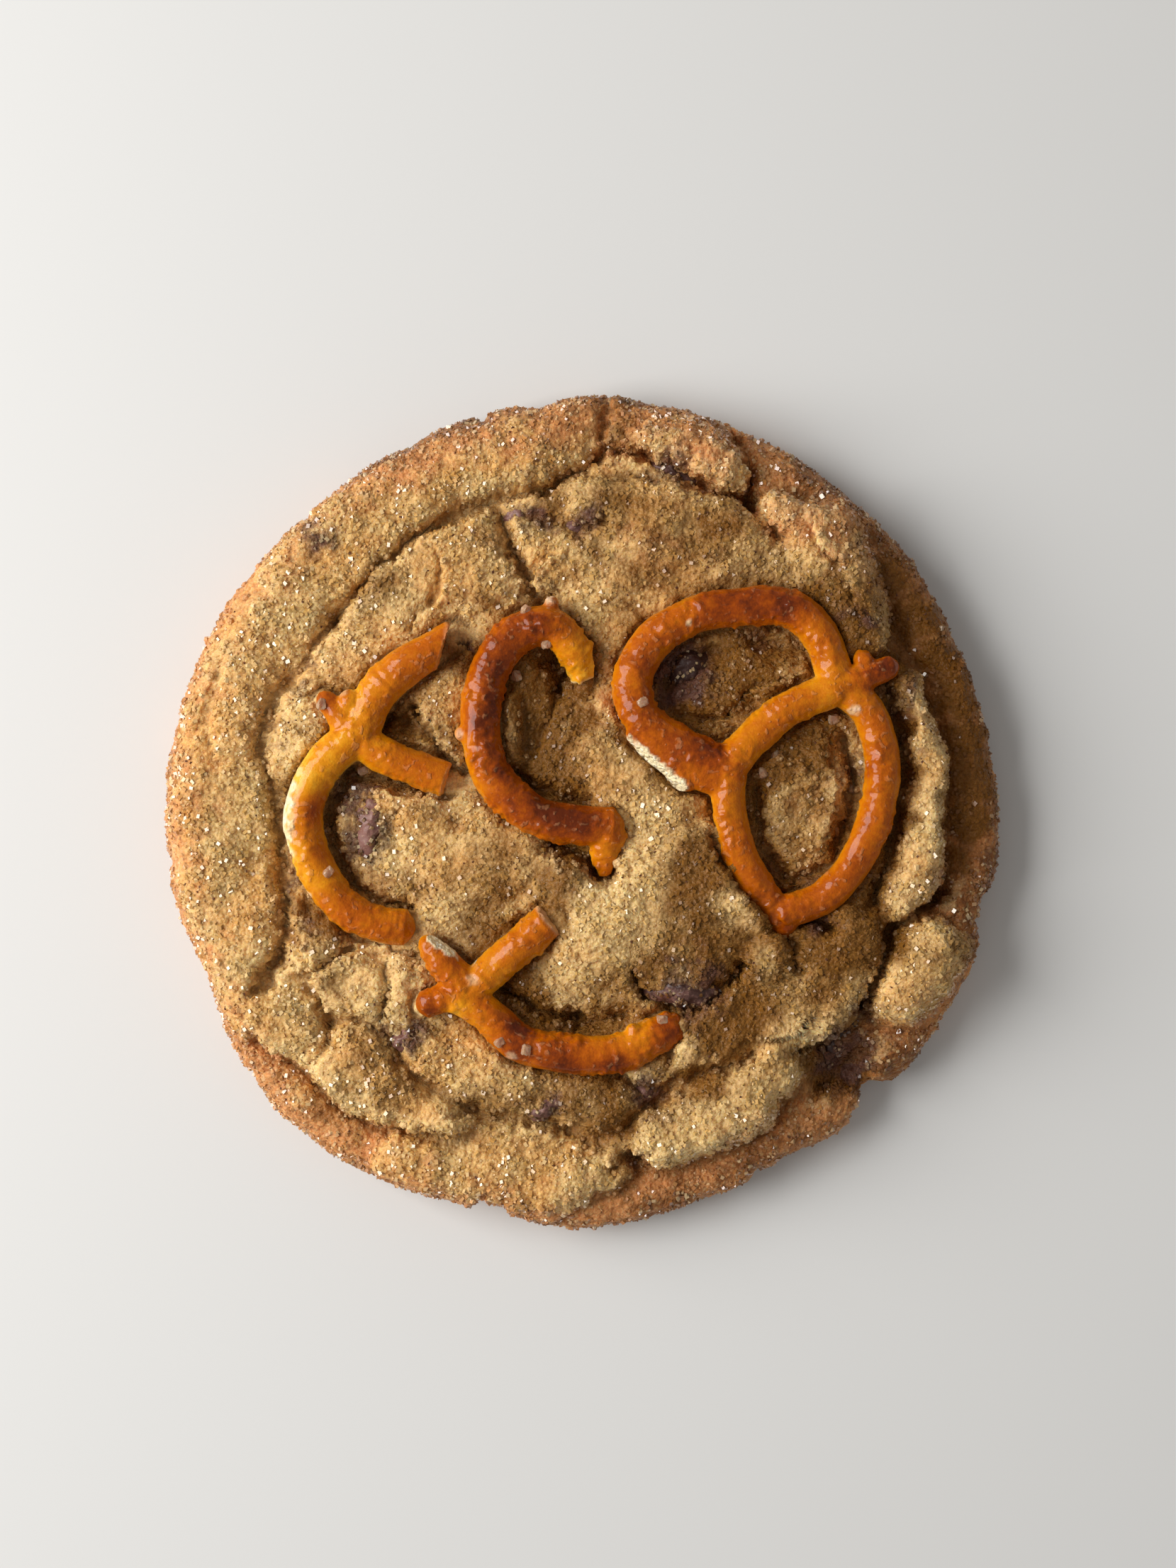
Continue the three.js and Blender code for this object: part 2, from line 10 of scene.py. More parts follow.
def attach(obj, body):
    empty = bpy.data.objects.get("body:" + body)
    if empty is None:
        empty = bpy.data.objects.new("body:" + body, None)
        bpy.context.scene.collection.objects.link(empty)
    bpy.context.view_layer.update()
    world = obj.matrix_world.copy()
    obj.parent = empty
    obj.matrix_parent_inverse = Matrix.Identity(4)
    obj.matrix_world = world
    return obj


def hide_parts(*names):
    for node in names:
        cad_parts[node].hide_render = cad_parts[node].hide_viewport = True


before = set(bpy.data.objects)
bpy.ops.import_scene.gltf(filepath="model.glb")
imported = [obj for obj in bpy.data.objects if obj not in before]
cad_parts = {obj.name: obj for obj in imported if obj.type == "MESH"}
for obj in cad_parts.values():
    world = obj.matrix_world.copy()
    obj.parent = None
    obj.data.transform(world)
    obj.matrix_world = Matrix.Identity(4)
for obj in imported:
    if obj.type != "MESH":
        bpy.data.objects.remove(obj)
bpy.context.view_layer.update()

# ==== Broken pretzel twists ==================================================================
# Mini pretzel twists, glazed and baked hard, then broken by hand into four pieces. Their round
# strands have grown into each other where they cross, and the dough has risen round them.

MM = 0.001  # stations and sizes are in millimetres, as a baker's ruler reads, and meshes in metres
STRAND_SIDES = 26
STRAND_STEP = 0.5  # distance between rings along a strand
SKIN_CELL = 0.22  # size of one face of the finished skin
RAW_DEPTH = 0.3  # depth behind a broken face over which the pale crumb fades into the glaze
TIP_INSET = 0.45  # how far a round tip's ball sits back from the strand's end, in radii
TIP_FULLNESS = 0.98  # the ball's radius, in radii
ROUNDING = 4  # passes that round the joins between strands
TORN_DEPTH = 0.22  # how rough the crumb of a broken face is

# Each strand's stations are [x, y, z, radius, bake], where bake goes from 0, pale, to 1, dark.
# A strand is broken at the ends named in "broken", as (x, y, how pale the break is), and its other
# ends are baked round tips. A snap is a flat break through a point. It faces "heading", leans up by
# "tilt", goes as far round the point as "reach", and is as pale as "pale".
# A scuff is a spot where the glaze has come off: [x, y, radius, how pale it is]. A shade is a spot that is darker
# or lighter, partly from the oven and partly painted shade on a strand's side away from the window or where an arm
# shades it,
# and painted light on its lit outer side: [x, y, radius, change in bake].
PRETZELS = {
    "fork": {
        "strands": [
            [
                [-15, 21, 12.7, 1.9, 0.62], [-19.4, 18.3, 12.5, 2.3, 0.56], [-22.7, 16, 12.3, 2.5, 0.52],
                [-24.9, 12.9, 12, 2.3, 0.4], [-26.8, 9.3, 11.9, 2.4, 0.3], [-30.6, 5.8, 11.8, 2.3, 0.24],
                [-32.9, 0.6, 11.7, 2.35, 0.24], [-32, -5, 11.6, 2.3, 0.3], [-28.5, -10.7, 11.5, 2.2, 0.6],
                [-23.8, -13.1, 11.2, 2.2, 0.58], [-21, -13.5, 10.9, 2.1, 0.56],
            ],
            [
                [-30.6, 13.7, 12.3, 1.25, 0.9], [-28.6, 11.6, 12.1, 1.7, 0.42], [-25.6, 8.2, 11.8, 2.1, 0.3],
                [-21.4, 6, 11.7, 2.1, 0.56], [-16, 4.1, 11.7, 2.1, 0.52],
            ],
        ],
        "nubs": [[-27.4, 13.2, 12.5, 1.5, -0.1]],
        "broken": [(-15, 21, 0.1), (-16, 4.1, 0.1)],
        "snaps": [{"at": (-16.6, 19.4, 12), "heading": -15, "tilt": -4, "reach": 5, "pale": 0.1}],
        "scuffs": [
            [-35.2, -2.6, 1.4, 0.9], [-35.3, -0.4, 1.5, 1], [-35.1, 1.6, 1.4, 1], [-34.3, 3.4, 1.1, 0.8],
            [-33.4, 5, 0.7, 0.4], [-34.6, -4.6, 0.8, 0.8], [-28.2, 14.4, 0.6, 0.3], [-32.4, -9.6, 0.6, 0.5],
        ],
        "baked_and_painted_shades": [
            [-35.2, 0, 2.4, -0.2], [-34.4, -5.6, 2, -0.16], [-33.4, 5, 2.2, -0.12], [-31.2, 0.6, 2.2, 0.46],
            [-30.4, -4.4, 2, 0.3], [-31.4, -7.6, 2, -0.14], [-28.6, 3.4, 1.6, 0.16], [-26.6, 11.6, 2, -0.12],
            [-25, 16, 2, -0.1], [-23.4, 12, 2, 0.12], [-24.8, 6.8, 2, 0.06], [-32.8, -1.4, 1.6, 0.14],
        ],
        "blisters": 0.6,
    },
    "crescent": {
        "strands": [
            [
                [0.1, 15.8, 10.8, 1.45, 0.2], [-0.9, 19, 11.6, 2.1, 0.46], [-4, 22.2, 12.1, 2.4, 0.74],
                [-8.4, 20.6, 12.1, 2.4, 0.78], [-11.3, 15.9, 12.1, 2.4, 0.78], [-12, 10.4, 12.1, 2.4, 0.8],
                [-10.5, 4.2, 12, 2.4, 0.74], [-5.5, -0.2, 11.9, 2.4, 0.74], [0.4, -1.4, 11.8, 2.4, 0.66],
                [3.7, -1.5, 11.7, 2.3, 0.56],
            ],
            [[3.4, -1.8, 11.7, 2, 0.6], [2.6, -4.4, 11.6, 1.6, 0.34], [2.5, -7, 11.3, 0.85, 0.6]],
        ],
        "nubs": [[-14.2, 9.4, 12.2, 0.95, 0.5], [-3.6, 24.8, 12.4, 1, 0.2]],
        "broken": [(0.1, 15.8, 0.5)],
        "snaps": [],
        "scuffs": [[0.7, 14.9, 1.2, 0.5], [-4, 25.6, 1.1, 0.5], [-14.6, 9.4, 0.8, 0.25]],
        "baked_and_painted_shades": [
            [-14.2, 14, 2.6, -0.2], [-14.6, 8, 2.6, -0.3], [-12.4, 3.4, 2.2, -0.25], [-9.4, 13, 2.4, 0.14],
            [-9.8, 18, 2.4, 0.08], [-12.2, 10, 1.8, 0.16], [-4, 1, 3, 0.3], [0.6, -0.6, 2.6, 0.26],
            [-9, 5.6, 2, 0.2], [-1.4, 20.4, 2, -0.2], [2, 17.6, 1.8, -0.3], [-6, -1.4, 2, -0.1],
            [-5.6, 22.4, 2, 0.1],
        ],
        "blisters": 1,
    },
    "knot": {
        "strands": [
            [
                [17.4, 5.4, 12.2, 2.35, 0.72], [11.5, 8, 12.2, 2.35, 0.76], [6.8, 11.5, 12.2, 2.3, 0.7],
                [5.9, 15.7, 12.1, 2.35, 0.66], [8.1, 20.2, 12.1, 2.25, 0.62], [12.5, 23.1, 12.2, 2.25, 0.68],
                [18, 24.3, 12.3, 2.3, 0.76], [24.6, 24.1, 12.4, 2.3, 0.74], [28.2, 20.6, 12.4, 2.2, 0.58],
                [30.2, 15.4, 12.4, 2.1, 0.42], [33.7, 12, 12.2, 2.1, 0.56], [35.3, 6.4, 12, 2.1, 0.6],
                [34.9, 0.8, 11.8, 2.1, 0.6], [32.5, -5.2, 11.6, 2.05, 0.62], [28.5, -9.8, 11.4, 2.05, 0.66],
                [23.4, -11.7, 11.1, 2, 0.72],
            ],
            [
                [17.2, 5.6, 12.1, 2.15, 0.5], [17.3, 0.2, 12, 2, 0.5], [18.8, -5.3, 11.9, 2, 0.6],
                [21.8, -10.3, 11, 2, 0.64], [24.3, -13.8, 10.4, 1.6, 0.8],
            ],
            [
                [16.8, 5, 12.2, 2.1, 0.46], [19.9, 8.7, 12.4, 2.1, 0.46], [24.3, 12.4, 12.6, 2.1, 0.5],
                [29.6, 14.7, 12.7, 2.1, 0.4], [36.5, 17.4, 12.8, 1.3, 0.98],
            ],
            [[6.2, 10.2, 11.9, 1.9, 0.7], [11, 6.5, 12, 2.4, 0.76], [16.2, 4, 12, 2.1, 0.64]],
        ],
        "nubs": [[33, 18.1, 12.8, 1.15, 0.3], [12, 4.7, 11.8, 2.2, 0.6]],
        "broken": [],
        "snaps": [{"at": (9.3, 5.1, 12.5), "heading": 229, "tilt": 24, "reach": 7.4, "pale": 1}],
        "scuffs": [[31.8, 12.2, 0.7, 0.45], [12.4, 22.4, 0.4, 0.5]],
        "baked_and_painted_shades": [
            [16, 25.6, 3, 0.14], [23.6, 25.4, 3, 0.16], [12, 24.6, 2, -0.1], [14.6, 7.4, 2.4, 0.16],
            [10.4, 9.6, 2, -0.08], [7, 17.4, 1.4, 0.14], [4, 16, 1.6, -0.14], [29, 16, 2, -0.1],
            [33.4, 5, 1.4, 0.16], [36.4, 3, 1.4, -0.16], [13.2, 4.6, 2, -0.14], [26.6, 21.8, 1.6, -0.12],
        ],
        "blisters": 0.7,
    },
    "hook": {
        "strands": [
            [
                [-18.7, -22.6, 12.1, 1.6, 0.9], [-15.4, -21.6, 12.1, 1.9, 0.5], [-11.6, -23.3, 11.9, 2.1, 0.52],
                [-7.3, -27, 11.7, 2.25, 0.68], [-1.4, -28.3, 11.6, 2.35, 0.74], [4.4, -28.1, 11.5, 2.4, 0.56],
                [8.6, -26.2, 11.3, 2.35, 0.56], [11, -24.6, 11, 1.7, 0.8],
            ],
            [
                [-3.9, -12.5, 12.6, 2.1, 0.54], [-8.2, -16.2, 12.3, 2.15, 0.5], [-12.4, -20, 12.1, 2.1, 0.44],
                [-14.6, -22, 12, 1.8, 0.5],
            ],
            [[-18.5, -14.9, 12.7, 1.1, 0.5], [-16.7, -17.3, 12.5, 1.95, 0.66], [-13.6, -20.4, 12.2, 2.1, 0.5]],
        ],
        "nubs": [[6, -25.5, 12.4, 0.95, 0.34]],
        "broken": [(-3.9, -12.5, 0.3)],
        "snaps": [{"at": (-15.4, -15.9, 12.8), "heading": 58, "tilt": 24, "reach": 3.2, "pale": 1}],
        "scuffs": [[-12.9, -19.4, 0.8, 0.3], [-8.4, -28.4, 0.7, 0.3]],
        "baked_and_painted_shades": [
            [-4, -26.4, 2, -0.04], [1, -26.8, 2.4, -0.08], [5.6, -25.8, 2.4, -0.12], [-2, -30.2, 2.2, 0.26],
            [4, -29.6, 2.2, 0.3], [9.6, -26.4, 2, 0.18], [-8.6, -28.6, 1.8, 0.14], [-9.6, -24.6, 2, 0],
            [-14.4, -22.6, 1.6, -0.26], [-11, -18, 2.2, -0.1], [-7.4, -24.6, 2.2, 0.3],
        ],
        "blisters": 0.8,
    },
}


def strand_path(stations, step):
    """A smooth centripetal curve through the stations, with its other values carried along evenly."""
    knots = np.array(stations, float)
    ends = (2 * knots[0] - knots[1], 2 * knots[-1] - knots[-2])
    knots = np.vstack([ends[0], knots, ends[1]])
    rows = []
    for before, start, stop, after in zip(knots, knots[1:], knots[2:], knots[3:]):
        gaps = [np.linalg.norm(b[:3] - a[:3]) ** 0.5 for a, b in ((before, start), (start, stop), (stop, after))]
        leave = (start - before) / gaps[0] - (stop - before) / (gaps[0] + gaps[1]) + (stop - start) / gaps[1]
        arrive = (stop - start) / gaps[1] - (after - start) / (gaps[1] + gaps[2]) + (after - stop) / gaps[2]
        pieces = max(2, round(gaps[1] ** 2 / step))
        for t in np.arange(pieces) / pieces:
            point = (
                (2 * t**3 - 3 * t**2 + 1) * start + (t**3 - 2 * t**2 + t) * leave * gaps[1]
                + (-2 * t**3 + 3 * t**2) * stop + (t**3 - t**2) * arrive * gaps[1]
            )
            point[3:] = start[3:] + (stop[3:] - start[3:]) * t
            rows.append(point)
    rows.append(knots[-2])
    return np.array(rows)


def add_strand(verts, faces, path):
    """Adds a round strand along the path, closed by a flat face at each end."""
    first = len(verts)
    along = np.gradient(path[:, :3], axis=0)
    along /= np.linalg.norm(along, axis=1)[:, None]
    side = np.cross(along, (0, 0, 1))
    side /= np.linalg.norm(side, axis=1)[:, None]
    rise = np.cross(side, along)
    turns = 2 * np.pi * np.arange(STRAND_SIDES) / STRAND_SIDES
    for centre, across, up in zip(path, side, rise):
        for turn in turns:
            verts.append(centre[:3] + centre[3] * (math.cos(turn) * across + math.sin(turn) * up))
    rings = len(path)
    for ring in range(rings - 1):
        for k in range(STRAND_SIDES):
            a = first + ring * STRAND_SIDES + k
            b = first + ring * STRAND_SIDES + (k + 1) % STRAND_SIDES
            faces.append((a, a + STRAND_SIDES, b + STRAND_SIDES, b))
    faces.append(tuple(first + k for k in range(STRAND_SIDES)))
    last = first + (rings - 1) * STRAND_SIDES
    faces.append(tuple(last + k for k in reversed(range(STRAND_SIDES))))


def add_ball(verts, faces, centre, radius, rings=10, sides=16):
    """Adds a ball of rings of four-sided faces."""
    first = len(verts)
    verts.append(np.array(centre) + (0, 0, radius))
    for ring in range(1, rings):
        lean = math.pi * ring / rings
        for k in range(sides):
            turn = 2 * math.pi * k / sides
            offset = (math.sin(lean) * math.cos(turn), math.sin(lean) * math.sin(turn), math.cos(lean))
            verts.append(np.array(centre) + radius * np.array(offset))
    verts.append(np.array(centre) - (0, 0, radius))
    for k in range(sides):
        after = (k + 1) % sides
        faces.append((first, first + 1 + k, first + 1 + after))
        for ring in range(rings - 2):
            a = first + 1 + ring * sides
            faces.append((a + k, a + sides + k, a + sides + after, a + after))
        low = first + 1 + (rings - 2) * sides
        faces.append((low + k, len(verts) - 1, low + after))


def stood(name, data):
    """A new object in the scene, at the origin, that holds a mesh, a light or a camera."""
    made = bpy.data.objects.new(name, data)
    bpy.context.scene.collection.objects.link(made)
    return made


def finished_mesh(host):
    """The mesh that an object's modifiers make, as a plain mesh. The object itself is removed."""
    mesh = bpy.data.meshes.new_from_object(host.evaluated_get(bpy.context.evaluated_depsgraph_get()))
    name = host.name
    bpy.data.objects.remove(host)
    mesh.name = name
    return mesh


def show(name, mesh, material, smooth=True):
    """Puts a mesh in the scene as a piece of the cookie, which rides on its only body."""
    piece = stood(name, mesh)
    mesh.materials.clear()
    mesh.materials.append(material)
    mesh.polygons.foreach_set("use_smooth", [smooth] * len(mesh.polygons))
    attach(piece, "root")
    return piece


def set_masks(mesh, masks):
    """Stores named masks, one value for each vertex, for the materials to read."""
    for name, values in masks.items():
        stored = mesh.attributes.new(name, "FLOAT", "POINT")
        stored.data.foreach_set("value", np.asarray(values, np.float32))


def rows_of(points, field):
    """A field of three numbers of every point, as rows."""
    values = np.zeros(len(points) * 3, np.float32)
    points.foreach_get(field, values)
    return values.reshape(-1, 3).astype(float)


def noise_at(points, size, octaves, seed):
    """Smooth noise of about -1 to 1 at each point, with hills of the given size. The seed only
    moves it to a place of its own."""
    offset = Vector((seed, 2.3 * seed, 1.7 * seed))
    fade, finer = 0.9, 2.0  # from one octave to the next
    return np.array([
        noise.fractal(Vector(p) / size + offset, fade, finer, octaves, noise_basis="PERLIN_ORIGINAL")
        for p in points
    ])


def smoothstep(start, stop, x):
    """0 before start, 1 after stop, and smooth between them."""
    t = np.clip((x - start) / (stop - start), 0, 1)
    return t * t * (3 - 2 * t)


def pretzel_mesh(name, piece):
    """A broken piece of pretzel: its strands grown together, blistered by the oven, and torn."""
    verts, faces, spines, breaks = [], [], [], []
    for stations in piece["strands"]:
        path = strand_path(stations, STRAND_STEP)
        add_strand(verts, faces, path)
        spines.append(path)
        for end, inner in ((path[0], path[3]), (path[-1], path[-4])):
            outward = (end - inner)[:3] / np.linalg.norm((end - inner)[:3])
            broken_here = [pale for x, y, pale in piece["broken"] if math.dist(end[:2], (x, y)) < 0.1]
            if broken_here:
                breaks.append((end, outward, broken_here[0]))
            else:
                add_ball(verts, faces, end[:3] - TIP_INSET * end[3] * outward, TIP_FULLNESS * end[3])
    for x, y, z, radius, bake in piece["nubs"]:
        add_ball(verts, faces, (x, y, z), radius)
        spines.append(np.array([[x, y, z, radius, bake]]))
    rough = bpy.data.meshes.new(name)
    rough.from_pydata([tuple(v) for v in verts], [], faces)
    host = stood(name, rough)
    grown = host.modifiers.new("grown together", "REMESH")
    grown.mode = "VOXEL"
    grown.voxel_size = SKIN_CELL
    rounded = host.modifiers.new("rounded", "SMOOTH")
    rounded.iterations = ROUNDING
    mesh = finished_mesh(host)

    co = rows_of(mesh.vertices, "co")
    out = rows_of(mesh.vertex_normals, "vector")
    spine = np.vstack(spines)
    tree = KDTree(len(spine))
    for i, row in enumerate(spine):
        tree.insert(Vector(row[:3]), i)
    tree.balance()
    bake = np.array([np.mean([spine[i, 4] for _, i, _ in tree.find_n(Vector(p), 5)]) for p in co])
    # the oven's darker and lighter spots, with painted shade and painted light among them
    for x, y, radius, change in piece["baked_and_painted_shades"]:
        bake += change * np.exp(-((co[:, 0] - x) ** 2 + (co[:, 1] - y) ** 2) / radius**2)

    # the skin, blistered and finely wrinkled across the strands
    nearest = np.array([tree.find(Vector(p))[1] for p in co])
    ahead = np.vstack([np.gradient(path[:, :3], axis=0) if len(path) > 1 else [[1, 0, 0]] for path in spines])
    ahead /= np.linalg.norm(ahead, axis=1)[:, None]
    along = np.sum((co - spine[nearest, :3]) * ahead[nearest], axis=1)
    run = np.concatenate([np.arange(len(path)) * STRAND_STEP for path in spines])[nearest] + along
    across = co - spine[nearest, :3] - along[:, None] * ahead[nearest]
    wrinkled = noise_at(np.column_stack([2.6 * run, across[:, :2].sum(axis=1), across[:, 2]]), 1.5, 2, 9.1)
    blisters = np.clip(noise_at(co, 0.95, 1, 7.7) - 0.12, 0, 1)
    patches = smoothstep(-0.25, 0.25, noise_at(co, 4.5, 1, 17.0))
    skin = (0.05 + 0.2 * patches) * np.clip(wrinkled, -0.3, 0.6) + (0.08 + 0.5 * patches) * blisters
    swelling = 0.22 * noise_at(co, 3.4, 1, 1.3) + 0.07 * noise_at(co, 1.4, 1, 3.1)
    co += out * (piece["blisters"] * skin + swelling)[:, None]

    # the breaks, each flat but for its torn crumb
    raw = np.zeros(len(co))
    torn = TORN_DEPTH * noise_at(co, 0.8, 2, 5.0)
    for snap in piece["snaps"]:
        heading, tilt = math.radians(snap["heading"]), math.radians(snap["tilt"])
        level = math.cos(tilt)
        facing = np.array((math.cos(heading) * level, math.sin(heading) * level, math.sin(tilt)))
        at = np.array(snap["at"])
        near = np.linalg.norm((co - at)[:, :2], axis=1) < snap["reach"]
        beyond = (co - at) @ facing - torn
        broken = near & (beyond > 0)
        co[broken] -= beyond[broken, None] * facing
        raw[near] = np.maximum(raw[near], snap["pale"] * smoothstep(-RAW_DEPTH, 0.02, beyond[near]))
    for end, outward, pale in breaks:
        near = np.linalg.norm(co - end[:3], axis=1) < 1.1 * end[3]
        face = smoothstep(-0.45, -0.12, (co - end[:3]) @ outward) * near
        co += outward * (face * torn)[:, None]
        raw = np.maximum(raw, pale * face)
    for x, y, radius, pale in piece["scuffs"]:
        away = np.hypot(co[:, 0] - x, co[:, 1] - y) / radius
        raw = np.maximum(raw, pale * smoothstep(1.2, 0.4, away + 2.4 * torn))
    mesh.vertices.foreach_set("co", (co * MM).astype(np.float32).ravel())
    mesh.update()
    set_masks(mesh, {"bake": bake, "raw": raw})
    return mesh


def feed(tree, node, inputs):
    """Links a node's inputs to sockets, or sets them to values."""
    for key, value in inputs.items():
        if isinstance(value, bpy.types.NodeSocket):
            tree.links.new(value, node.inputs[key])
        else:
            node.inputs[key].default_value = value


def add_node(tree, kind, inputs=None, **settings):
    """Adds a node, sets it up and feeds its inputs."""
    made = tree.nodes.new(kind)
    for key, value in settings.items():
        setattr(made, key, value)
    feed(tree, made, inputs or {})
    return made


def mixed(tree, factor, a, b, blend="MIX"):
    """A colour between a and b, which are colours or sockets."""
    colours = {
        key: value if isinstance(value, bpy.types.NodeSocket) else (*value, 1)
        for key, value in ((6, a), (7, b))
    }
    made = add_node(tree, "ShaderNodeMix", {0: factor, **colours}, data_type="RGBA", blend_type=blend)
    return made.outputs[2]


def ranged(tree, value, start, stop, low=0.0, high=1.0):
    """A value carried smoothly from the range start..stop to low..high."""
    inputs = {"Value": value, "From Min": start, "From Max": stop, "To Min": low, "To Max": high}
    return add_node(tree, "ShaderNodeMapRange", inputs, interpolation_type="SMOOTHSTEP").outputs["Result"]


def reckon(tree, operation, total, *others):
    """All the values added, or multiplied, and so on, from the first to the last."""
    for other in others:
        total = add_node(tree, "ShaderNodeMath", {0: total, 1: other}, operation=operation).outputs[0]
    return total


def mask(tree, name):
    """A mask that the piece's own points carry."""
    return add_node(tree, "ShaderNodeAttribute", attribute_name=name).outputs["Fac"]


def bump(tree, height, strength, depth):
    """The normal of a surface with fine relief of the given depth in millimetres."""
    inputs = {"Height": height, "Strength": strength, "Distance": depth * MM}
    return add_node(tree, "ShaderNodeBump", inputs).outputs["Normal"]


def noise_texture(tree, size, detail=2.0, roughness=0.5):
    """Noise over the piece's own coordinates, with hills of the given size in millimetres."""
    place = add_node(tree, "ShaderNodeTexCoord").outputs["Object"]
    inputs = {"Vector": place, "Scale": 1 / (size * MM), "Detail": detail, "Roughness": roughness}
    return add_node(tree, "ShaderNodeTexNoise", inputs).outputs["Fac"]


def new_material(name):
    """A material, its nodes and its shader."""
    material = bpy.data.materials.new(name)
    material.use_nodes = True
    tree = material.node_tree
    return material, tree, tree.nodes["Principled BSDF"]


# The baked crumb: fine pits and pale grains, seen wherever a crust is open. It is shared by the
# dough and by the pretzels' broken faces.
crumb = bpy.data.node_groups.new("open crumb", "ShaderNodeTree")
for label, side in (("Grain size", "INPUT"), ("Grains", "OUTPUT"), ("Height", "OUTPUT")):
    crumb.interface.new_socket(label, in_out=side, socket_type="NodeSocketFloat")
fineness = reckon(crumb, "DIVIDE", 1.0, add_node(crumb, "NodeGroupInput").outputs["Grain size"])
spread = {"Vector": add_node(crumb, "ShaderNodeTexCoord").outputs["Object"], "Scale": fineness}
cells = add_node(crumb, "ShaderNodeTexVoronoi", spread).outputs
soft = add_node(crumb, "ShaderNodeTexNoise", {**spread, "Detail": 3.0, "Roughness": 0.6}).outputs["Fac"]
domed = ranged(crumb, cells["Distance"], 0.75, 0.1)
lottery = add_node(crumb, "ShaderNodeSeparateColor", {0: cells["Color"]}).outputs[0]
add_node(crumb, "NodeGroupOutput", {
    "Grains": reckon(crumb, "MULTIPLY", domed, ranged(crumb, lottery, 0.35, 0.9)),
    "Height": reckon(crumb, "ADD", reckon(crumb, "MULTIPLY", domed, 0.6), soft),
})


def open_crumb(tree, size):
    """The crumb's grains and height, for grains of the given size in millimetres."""
    made = add_node(tree, "ShaderNodeGroup", {"Grain size": size * MM}, node_tree=crumb).outputs
    return made["Grains"], made["Height"]


glaze, tree, shader = new_material("baked pretzel glaze")
mottle = noise_texture(tree, 2.2, 3.0, 0.6)
freckle = noise_texture(tree, 0.6, 2.0, 0.6)
raw = mask(tree, "raw")
outward = add_node(tree, "ShaderNodeNewGeometry").outputs["Normal"]
facing_up = add_node(tree, "ShaderNodeSeparateXYZ", {0: outward}).outputs["Z"]
# how far the oven went: the strand's own bake, mottled, and less on the flanks than on top
oven = mask(tree, "bake")
for patches, amount in ((mottle, 0.55), (freckle, 0.3)):
    oven = reckon(tree, "ADD", oven, reckon(tree, "MULTIPLY", reckon(tree, "SUBTRACT", patches, 0.5), amount))
oven = reckon(tree, "ADD", oven, ranged(tree, facing_up, -0.2, 0.95, -0.3, 0.06))
glaze_ramp = add_node(tree, "ShaderNodeValToRGB", {0: oven})
stops = glaze_ramp.color_ramp.elements
stops[0].color = (0.90, 0.52, 0.05, 1)
stops[1].color = (0.12, 0.018, 0.002, 1)
for place, colour in (
    (0.26, (0.74, 0.28, 0.006)), (0.46, (0.60, 0.17, 0.002)), (0.66, (0.47, 0.10, 0.001)),
    (0.84, (0.29, 0.048, 0.001)),
):
    stops.new(place).color = (*colour, 1)
crumb_grains, crumb_height = open_crumb(tree, 0.5)
raw_colour = mixed(tree, crumb_grains, (0.92, 0.78, 0.48), (0.98, 0.92, 0.74))
# pale flecks: thin scabs of paler glaze, where it was mottled and flaked, and painted glints on the blistered skin
scabs_and_glints = ranged(tree, noise_texture(tree, 0.75, 1.0, 0.4), 0.57, 0.68)
scabs_and_glints = reckon(tree, "MULTIPLY", scabs_and_glints, ranged(tree, mottle, 0.44, 0.6))
colour = glaze_ramp.outputs["Color"]
colour = mixed(tree, reckon(tree, "MULTIPLY", scabs_and_glints, 0.2), colour, (0.83, 0.42, 0.19))
wrinkles = reckon(tree, "ADD", reckon(tree, "MULTIPLY", freckle, 0.5), noise_texture(tree, 0.28))
height = reckon(
    tree, "ADD", reckon(tree, "MULTIPLY", wrinkles, 0.35), reckon(tree, "MULTIPLY", scabs_and_glints, 0.45),
    reckon(tree, "MULTIPLY", crumb_height, raw, 1.5),
)
roughness = reckon(tree, "ADD", ranged(tree, mottle, 0.3, 0.7, 0.3, 0.46), reckon(tree, "MULTIPLY", raw, 0.45))
feed(tree, shader, {
    "Base Color": mixed(tree, raw, colour, raw_colour), "Roughness": roughness, "Specular IOR Level": 0.05,
    "Coat Weight": ranged(tree, raw, 0.0, 0.5, 0.42, 0.0), "Coat Roughness": 0.08,
    "Normal": bump(tree, height, 0.8, 0.22),
})

pretzel_pieces = []
for name, piece in PRETZELS.items():
    made = show(f"baked_{name}", pretzel_mesh(name, piece), glaze)
    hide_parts(f"pretzel_{name}")
    pretzel_pieces.append(made)

# ==== The dough ==============================================================================
# Soft snickerdoodle-style dough, scooped, rolled in sugar and cinnamon and baked on a flat tray.
# The rim spread and browned first, and the middle rose in folds that cracked and slumped.

COOKIE_RADIUS = 49.9
WIDEST_Z = 3.6  # height of the widest line
FOOT_INSET = 1.7  # how far the wall draws in below it
SHOULDER = 3.2  # how far the wall reaches out beyond the top
PLATEAU_Z, PLATEAU_RADIUS = 11.0, 38.0  # the level middle, from which the ground slopes down
SHELF_Z, SHELF_RADIUS = 6.6, 42.5  # the low rim, to which it slopes
CRUST_CELLS = 300  # cells across the crust, along each side of its square net
WALL_SHARE = 0.17  # share of the net's rings that make the wall
WALL_TURN = 125.0  # degrees that the wall turns through, from the brow to the tray
WALL_FULLNESS = 0.8  # below 1, the wall bulges more than a circle would
BRIM_SHARE = 0.6  # share of the wall's reach over which it still follows the relief of the top
RAGGED = 0.6  # how far the edges of folds and creases wander
EDGE_SHARPNESS = 1.5  # how much squarer the folds are than in the plain solid
FOOT_SINK, FOOT_WIDTH = 0.5, 0.7  # how the crust sinks beside a torn plate, by the plate's height
GAP_DEPTH, GAP_WIDTH = 1.2, 0.42  # where the crust pulled away from a strand as it cooled
PATH_STEP = 1.5  # distance between the places on a strand that the dough's gap follows
HOLLOW_REACH, HOLLOW_DEPTH = 3, 0.7  # the cells and the depth by which a place counts as hollow

